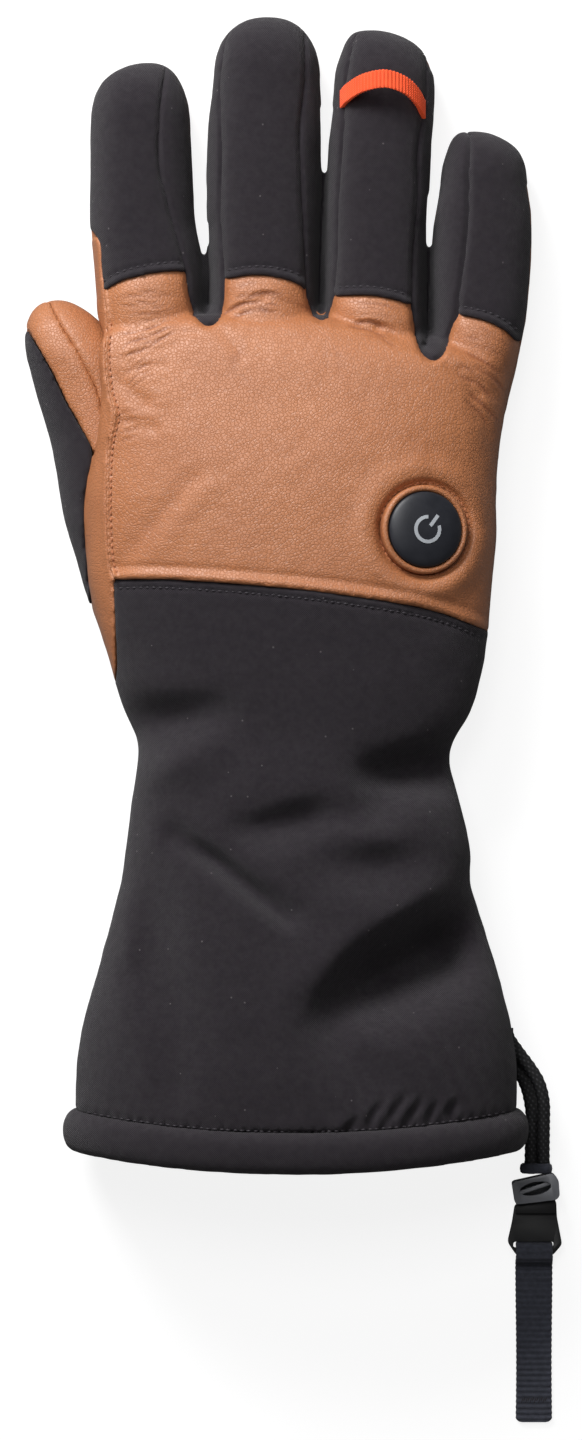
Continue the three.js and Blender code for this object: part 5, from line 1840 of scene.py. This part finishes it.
def open_for_button(panel):
    """Cuts the round hole of the button into the back of the hand"""
    radius = BEZEL_RADIUS - 0.2
    hole = turned_object("hole", [(0.01, -9), (radius, -9), (radius, 9), (0.01, 9)])
    carve(panel, "DIFFERENCE", hole)


class GLOVE_OT_leather(bpy.types.Operator):
    """The tan leather of the back of the hand and of the palm"""

    bl_idname = "glove.leather"
    bl_label = "Leather panels"

    def execute(self, context):
        cut_panel("hand_back", "tan leather")
        palm = copy_of(shop()["wall"], "palm_skin")
        cutters = [loop_cutter(name, 0.0) for name in shop()["loops"]]
        cutters += [curtain_cutter(name, 0.0) for name in CURTAINS]
        for cutter in cutters:
            combine(palm, "DIFFERENCE", cutter)
        reach = box_cutter("reach", (-BEYOND,) * 3, (BEYOND, BEYOND, FINGER_SEAM_Z))
        left = box_cutter("left", (-BEYOND, -BEYOND, -1), (-44, 101.5, BEYOND))
        right = box_cutter("right", (20, -BEYOND, -1), (BEYOND, 70.4, SIDE_SEAM_Z))
        strip = box_cutter("strip", (66, 60, -1), (BEYOND, 116, LITTLE_STRIP_Z))
        for other in (left, right, strip):
            combine(reach, "UNION", other)
        settle(reach)
        combine(palm, "INTERSECT", reach)
        settle(palm)
        keep_largest(palm)
        drop(*cutters, reach, left, right, strip)
        skin("palm", palm)
        open_slits(palm)
        dress(palm, "palm", "tan leather")
        return {"FINISHED"}


def keep_largest(thing):
    """Keeps the largest body of a mesh and drops loose slivers"""
    work = bmesh.new()
    work.from_mesh(thing.data)
    left = set(work.verts)
    best = set()
    while left:
        seed = left.pop()
        found, stack = {seed}, [seed]
        while stack:
            for edge in stack.pop().link_edges:
                for vert in edge.verts:
                    if vert in left:
                        left.discard(vert)
                        found.add(vert)
                        stack.append(vert)
        if len(found) > len(best):
            best = found
    bmesh.ops.delete(work, geom=[v for v in work.verts if v not in best], context="VERTS")
    work.to_mesh(thing.data)
    work.free()


class GLOVE_OT_thumb(bpy.types.Operator):
    """The thumb: its black outer side and its two leather panels"""

    bl_idname = "glove.thumb"
    bl_label = "Thumb"

    def execute(self, context):
        wall = shop()["thumb_wall"]
        back = copy_of(wall, "thumb_back_skin")
        side = curtain_cutter("thumb_side", SEAM_OVERLAP)
        combine(back, "INTERSECT", side)
        settle(back)
        skin("thumb_back", back)
        dress(back, "thumb_back", "black softshell")
        above = box_cutter("above", (-BEYOND, THUMB_CROTCH_Y, -BEYOND), (BEYOND,) * 3)
        for node, operation in (("thumb_top", "INTERSECT"), ("thumb_inner", "DIFFERENCE")):
            panel = copy_of(wall, f"{node}_skin")
            cutter = panel_cutter("cut_thumb_top", [dict(p) for p in shop()["thumb_top_loop"]],
                                  SEAM_OVERLAP if operation == "INTERSECT" else 0.0,
                                  bottom=THUMB_SEAM_Z)
            combine(panel, "INTERSECT", above)
            combine(panel, "DIFFERENCE", side)
            combine(panel, operation, cutter)
            settle(panel)
            keep_largest(panel)
            drop(cutter)
            skin(node, panel)
            dress(panel, node, "tan leather")
        drop(side, above)
        return {"FINISHED"}


class GLOVE_OT_cuff(bpy.types.Operator):
    """The black gauntlet and its rolled hem"""

    bl_idname = "glove.cuff"
    bl_label = "Gauntlet and hem"

    def execute(self, context):
        for node, outline in (("gauntlet_back", "cuff_top"), ("gauntlet_front", "cuff_floor")):
            panel = copy_of(shop()["wall"], f"{node}_skin")
            carve(panel, "INTERSECT", curtain_cutter(outline, SEAM_OVERLAP))
            skin(node, panel)
            dress(panel, node, "black softshell")
        self.hem()
        return {"FINISHED"}

    def hem(self):
        """The channel that the drawcord runs in, rolled round the mouth"""
        length = CUFF_END_Y - HEM_END_Y
        count = 20
        along = np.linspace(0.0, 1.0, count)
        swell = HEM_BULGE * np.sqrt(np.clip(1 - (2 * along - 1) ** 2, 0.03, 1))
        stations = CUFF_END_Y + 0.6 - along * (length + 0.6)
        angles = np.concatenate([
            np.linspace(0, math.pi, 150), np.linspace(math.pi, 2 * math.pi, 90)[1:-1],
        ])
        outer = section_points(HAND, stations, angles, -swell)
        inner = section_points(HAND, stations[::-1], angles, np.full(count, WALL))
        rings = np.concatenate([outer, inner])
        rings[:count, :, 2] = np.maximum(rings[:count, :, 2], 0.0)
        mesh = mesh_of("hem_skin", rings.reshape(-1, 3),
                       ring_faces(2 * count, rings.shape[1], closed=True))
        orient(mesh)
        hem = object_of("hem_skin", mesh)
        skin("hem", hem, smoothing=5)
        dress(hem, "hem", "black softshell")


class GLOVE_OT_button(bpy.types.Operator):
    """The domed button with its power mark, and the piped leather ring round it"""

    bl_idname = "glove.button"
    bl_label = "Button"

    def execute(self, context):
        self.ring()
        profile = [(0.01, -1.6), (DOME_RADIUS, -1.6), (DOME_RADIUS, 0.6)]
        profile += [
            (DOME_RADIUS * math.cos(a) ** DOME_POWER, self.height(a))
            for a in np.linspace(0, math.pi / 2, 24)[:-1]
        ]
        profile += [(0.01, DOME_CROWN_Z)]
        dome = turned_object("button_dome", profile, 128)
        dress(dome, "power_button", "button rubber", body="button")
        self.mark()
        return {"FINISHED"}

    def height(self, turn):
        """The height of the dome where its profile has turned by an angle"""
        return DOME_EDGE_Z + (DOME_CROWN_Z - DOME_EDGE_Z) * math.sin(turn)

    def ring(self):
        """Soft piping round the dome"""
        inner = DOME_RADIUS + 0.15
        middle = (BEZEL_RADIUS - 0.2 + inner) / 2
        half = (BEZEL_RADIUS - 0.2 - inner) / 2
        arc = np.linspace(0, math.pi, 14)
        profile = [(inner, -3.0), (middle + half, -3.0)]
        profile += [(middle + half * math.cos(a), 0.1 + 0.9 * math.sin(a)) for a in arc]
        ring = turned_object("button_piping", profile, 160)
        dress(ring, "button_bezel", "tan leather")

    def mark(self):
        """A ring open at its head, and a bar in the opening, printed on the dome"""
        points, faces = [], []

        def strip(pairs):
            first = len(points)
            for pair in pairs:
                for x, y in pair:
                    share = min((math.hypot(x, y) / DOME_RADIUS) ** (1 / DOME_POWER), 1)
                    points.append((x, y, self.height(math.acos(share)) + MARK_LIFT))
            for k in range(first, len(points) - 2, 2):
                faces.append([k, k + 1, k + 3, k + 2])

        strip(
            [(r * math.cos(a + MARK_TURN), r * math.sin(a + MARK_TURN)) for r in MARK_RADII]
            for a in np.linspace(math.radians(125), math.radians(415), 60)
        )
        way = np.array([math.cos(math.pi / 2 + MARK_TURN), math.sin(math.pi / 2 + MARK_TURN)])
        side = np.array([-way[1], way[0]]) * MARK_BAR["half"]
        strip(
            (r * way - side, r * way + side)
            for r in np.linspace(MARK_BAR["first"], MARK_BAR["last"], 12)
        )
        mesh = mesh_of("button_mark", button_points(points), faces)
        thing = object_of("button_mark", mesh)
        thick = thing.modifiers.new("Thickness", "SOLIDIFY")
        thick.thickness = 0.1 * MM
        thick.offset = 0
        settle(thing)
        orient(thing.data)
        dress(thing, None, "printed mark", body="button")


class GLOVE_OT_loop(bpy.types.Operator):
    """The orange webbing loop on the ring finger"""

    bl_idname = "glove.loop"
    bl_label = "Webbing loop"

    def execute(self, context):
        plan = curve_through(LOOP_PLAN, 0.08)
        t = np.linspace(0, 1, len(plan))
        arch = np.sin(math.pi * t) ** 0.75
        base = top_of_glove(plan[:, 0], plan[:, 1] - 4 * arch)
        tuck = 1.6 * (1 - smooth(9 * np.minimum(t, 1 - t)))
        path = np.column_stack([plan, base + LOOP_THICKNESS / 2 + 0.2 - tuck + LOOP_RISE * arch])
        run = run_along(path)
        rib = np.sin(2 * math.pi * run / 1.05)
        half = np.full(len(t), LOOP_WIDTH / 2) + 0.08 * rib
        thick = LOOP_THICKNESS / 2 * (0.8 + 0.2 * rib)
        band = band_object("loop_webbing", path, np.array([0, -1.0, 0]), half, thick)
        dress(band, "finger_loop", "orange webbing")
        return {"FINISHED"}


def stitch_object(name, stitches, length, width):
    """Many short threads as one mesh: each has a place, a way along and a way up"""
    count, rows = 6, 5
    points, faces = [], []
    for place, way, up in stitches:
        way = way / np.linalg.norm(way)
        side = np.cross(way, up)
        side /= np.linalg.norm(side)
        over = np.cross(side, way)
        first = len(points)
        for t in np.linspace(-1, 1, rows):
            thin = math.sqrt(max(1 - (0.94 * t) ** 2, 0.02))
            sink = -0.25 * width * t * t
            for k in range(count):
                a = 2 * math.pi * k / count
                points.append(
                    place + way * t * length / 2 + over * (sink + width / 2 * thin * math.sin(a))
                    + side * width / 2 * thin * math.cos(a)
                )
        for row in range(rows - 1):
            for k in range(count):
                n = (k + 1) % count
                a, b = first + row * count, first + (row + 1) * count
                faces.append([a + k, b + k, b + n, a + n])
        faces.append([first + k for k in range(count)])
        faces.append([first + (rows - 1) * count + k for k in reversed(range(count))])
    mesh = mesh_of(name, points, faces)
    shade_smooth(mesh)
    return object_of(name, mesh)


class GLOVE_OT_stitches(bpy.types.Operator):
    """Rows of stitches laid on the skins"""

    bl_idname = "glove.stitches"
    bl_label = "Stitches"

    def execute(self, context):
        for name, edge in zip(("index", "middle", "ring", "little"), BACK_EDGES):
            self.row(f"stitches_{name}", edge, 2.3, [f"{name}_back_skin"])
        self.row("stitches_cuff", CUFF_SEAM[:-1], -2.6, ["gauntlet_back_skin"])
        self.row("stitches_welt", WELT[4:], 1.4, ["hand_back_skin"], "tan thread")
        hem_line = [[x, hem_edge_y(x, 1.0)] for x in np.linspace(-54, 63, 14)]
        self.row("stitches_hem", hem_line, 0.0, ["gauntlet_back_skin", "hem_skin"])
        self.button_row()
        return {"FINISHED"}

    def row(self, name, line, offset, skins, finish="black thread"):
        """A row of stitches beside a line, dropped onto the skins from above"""
        pitch = bpy.context.scene.glove_sizes.stitch_pitch / MM
        track = curve_through(line, pitch)
        way = direction(track)
        track = track + np.column_stack([-way[:, 1], way[:, 0]]) * offset
        trees = [tree_of(bpy.data.objects[s]) for s in skins]
        stitches = []
        for (x, y), (dx, dy) in zip(track, way):
            hit = drop_onto(trees, x, y)
            ahead = drop_onto(trees, x + dx, y + dy)
            if hit is None or ahead is None or abs(ahead[0][2] - hit[0][2]) > 2.5:
                continue
            along = ahead[0] - hit[0]
            stitches.append((hit[0] + hit[1] * 0.12, along, hit[1]))
        thing = stitch_object(name, stitches, 0.7 * pitch, 0.62)
        dress(thing, None, finish)

    def button_row(self):
        """Stitches round the button's piping"""
        radius = BEZEL_RADIUS + 0.55
        trees = [tree_of(bpy.data.objects["hand_back_skin"])]
        stitches = []
        count = 44
        for k in range(count):
            ends = [2 * math.pi * at / count for at in (k, k + 0.3)]
            spots = button_points([(radius * math.cos(a), radius * math.sin(a), 0) for a in ends])
            hit = drop_onto(trees, spots[0][0], spots[0][1])
            ahead = drop_onto(trees, spots[1][0], spots[1][1])
            if hit is None or ahead is None:
                continue
            stitches.append((hit[0] + hit[1] * 0.1, ahead[0] - hit[0], hit[1]))
        thing = stitch_object("stitches_button", stitches, 1.5, 0.4)
        dress(thing, None, "tan thread")


def tree_of(thing):
    """A search tree of a mesh"""
    return BVHTree.FromObject(thing, bpy.context.evaluated_depsgraph_get())


def drop_onto(trees, x, y):
    """The highest place of the skins at x, y, and the way up there, in millimetres"""
    best = None
    for tree in trees:
        place, normal, _, _ = tree.ray_cast(Vector((x * MM, y * MM, 0.2)), Vector((0, 0, -1)))
        if place and (best is None or place.z > best[0].z):
            best = (place, normal)
    if best is None:
        return None
    return np.array(best[0]) / MM, np.array(best[1])


class GLOVE_OT_hidden(bpy.types.Operator):
    """Finishes the button's base, which stays as it is, and puts a fabric eyelet in place of the cord tab
    """

    bl_idname = "glove.hidden"
    bl_label = "Base and cord tab"

    def execute(self, context):
        dark = finish_of("dark plastic")
        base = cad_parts["button_base"]
        if not base.material_slots:
            base.data.materials.append(dark)
        for place in base.material_slots:
            place.material = dark
        self.eyelet()
        for name in ("wall", "thumb_wall"):
            drop(shop().pop(name))
        return {"FINISHED"}

    def eyelet(self):
        """The small fabric tab under the cuff that the drawcord comes out of"""
        low, high = (np.array(corner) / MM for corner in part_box("cord_tab"))
        high[0] -= 3.4
        outline = round_outline([
            [low[0], low[1]], [high[0], low[1]], [high[0] - 0.8, high[1]], [low[0], high[1]],
        ], 1.4)
        tab = slab_object("cord_eyelet", outline, low[2] + 0.2, high[2] - 0.4)
        soften(tab, 0.5)
        dress(tab, "cord_tab", "dark webbing")


class GLOVE_PT_panel(bpy.types.Panel):
    """Lists the pieces of the glove"""

    bl_label = "Heated glove"
    bl_idname = "GLOVE_PT_panel"
    bl_space_type = "VIEW_3D"
    bl_region_type = "UI"
    bl_category = "Glove"

    def draw(self, context):
        layout = self.layout
        for step in STEPS:
            layout.operator(step.bl_idname)
        for group in (context.scene.glove_sizes, context.scene.glove_colours):
            for name in group.bl_rna.properties.keys():
                if name not in ("rna_type", "name"):
                    layout.prop(group, name)


STEPS = (
    GLOVE_OT_stage, GLOVE_OT_cords, GLOVE_OT_backs, GLOVE_OT_gussets, GLOVE_OT_leather, GLOVE_OT_thumb,
    GLOVE_OT_cuff, GLOVE_OT_button, GLOVE_OT_loop, GLOVE_OT_stitches, GLOVE_OT_hidden,
)
CLASSES = (GloveColours, GloveSizes, *STEPS, GLOVE_PT_panel)


def register():
    """Registers the classes and their settings"""
    for item in CLASSES:
        bpy.utils.register_class(item)
    bpy.types.Scene.glove_colours = PointerProperty(type=GloveColours)
    bpy.types.Scene.glove_sizes = PointerProperty(type=GloveSizes)


def unregister():
    """Takes the classes and their settings away"""
    del bpy.types.Scene.glove_sizes
    del bpy.types.Scene.glove_colours
    for item in reversed(CLASSES):
        bpy.utils.unregister_class(item)


def main():
    """Builds the whole glove"""
    register()
    for step in STEPS:
        group, name = step.bl_idname.split(".")
        getattr(getattr(bpy.ops, group), name)()


if __name__ == "__main__":
    main()
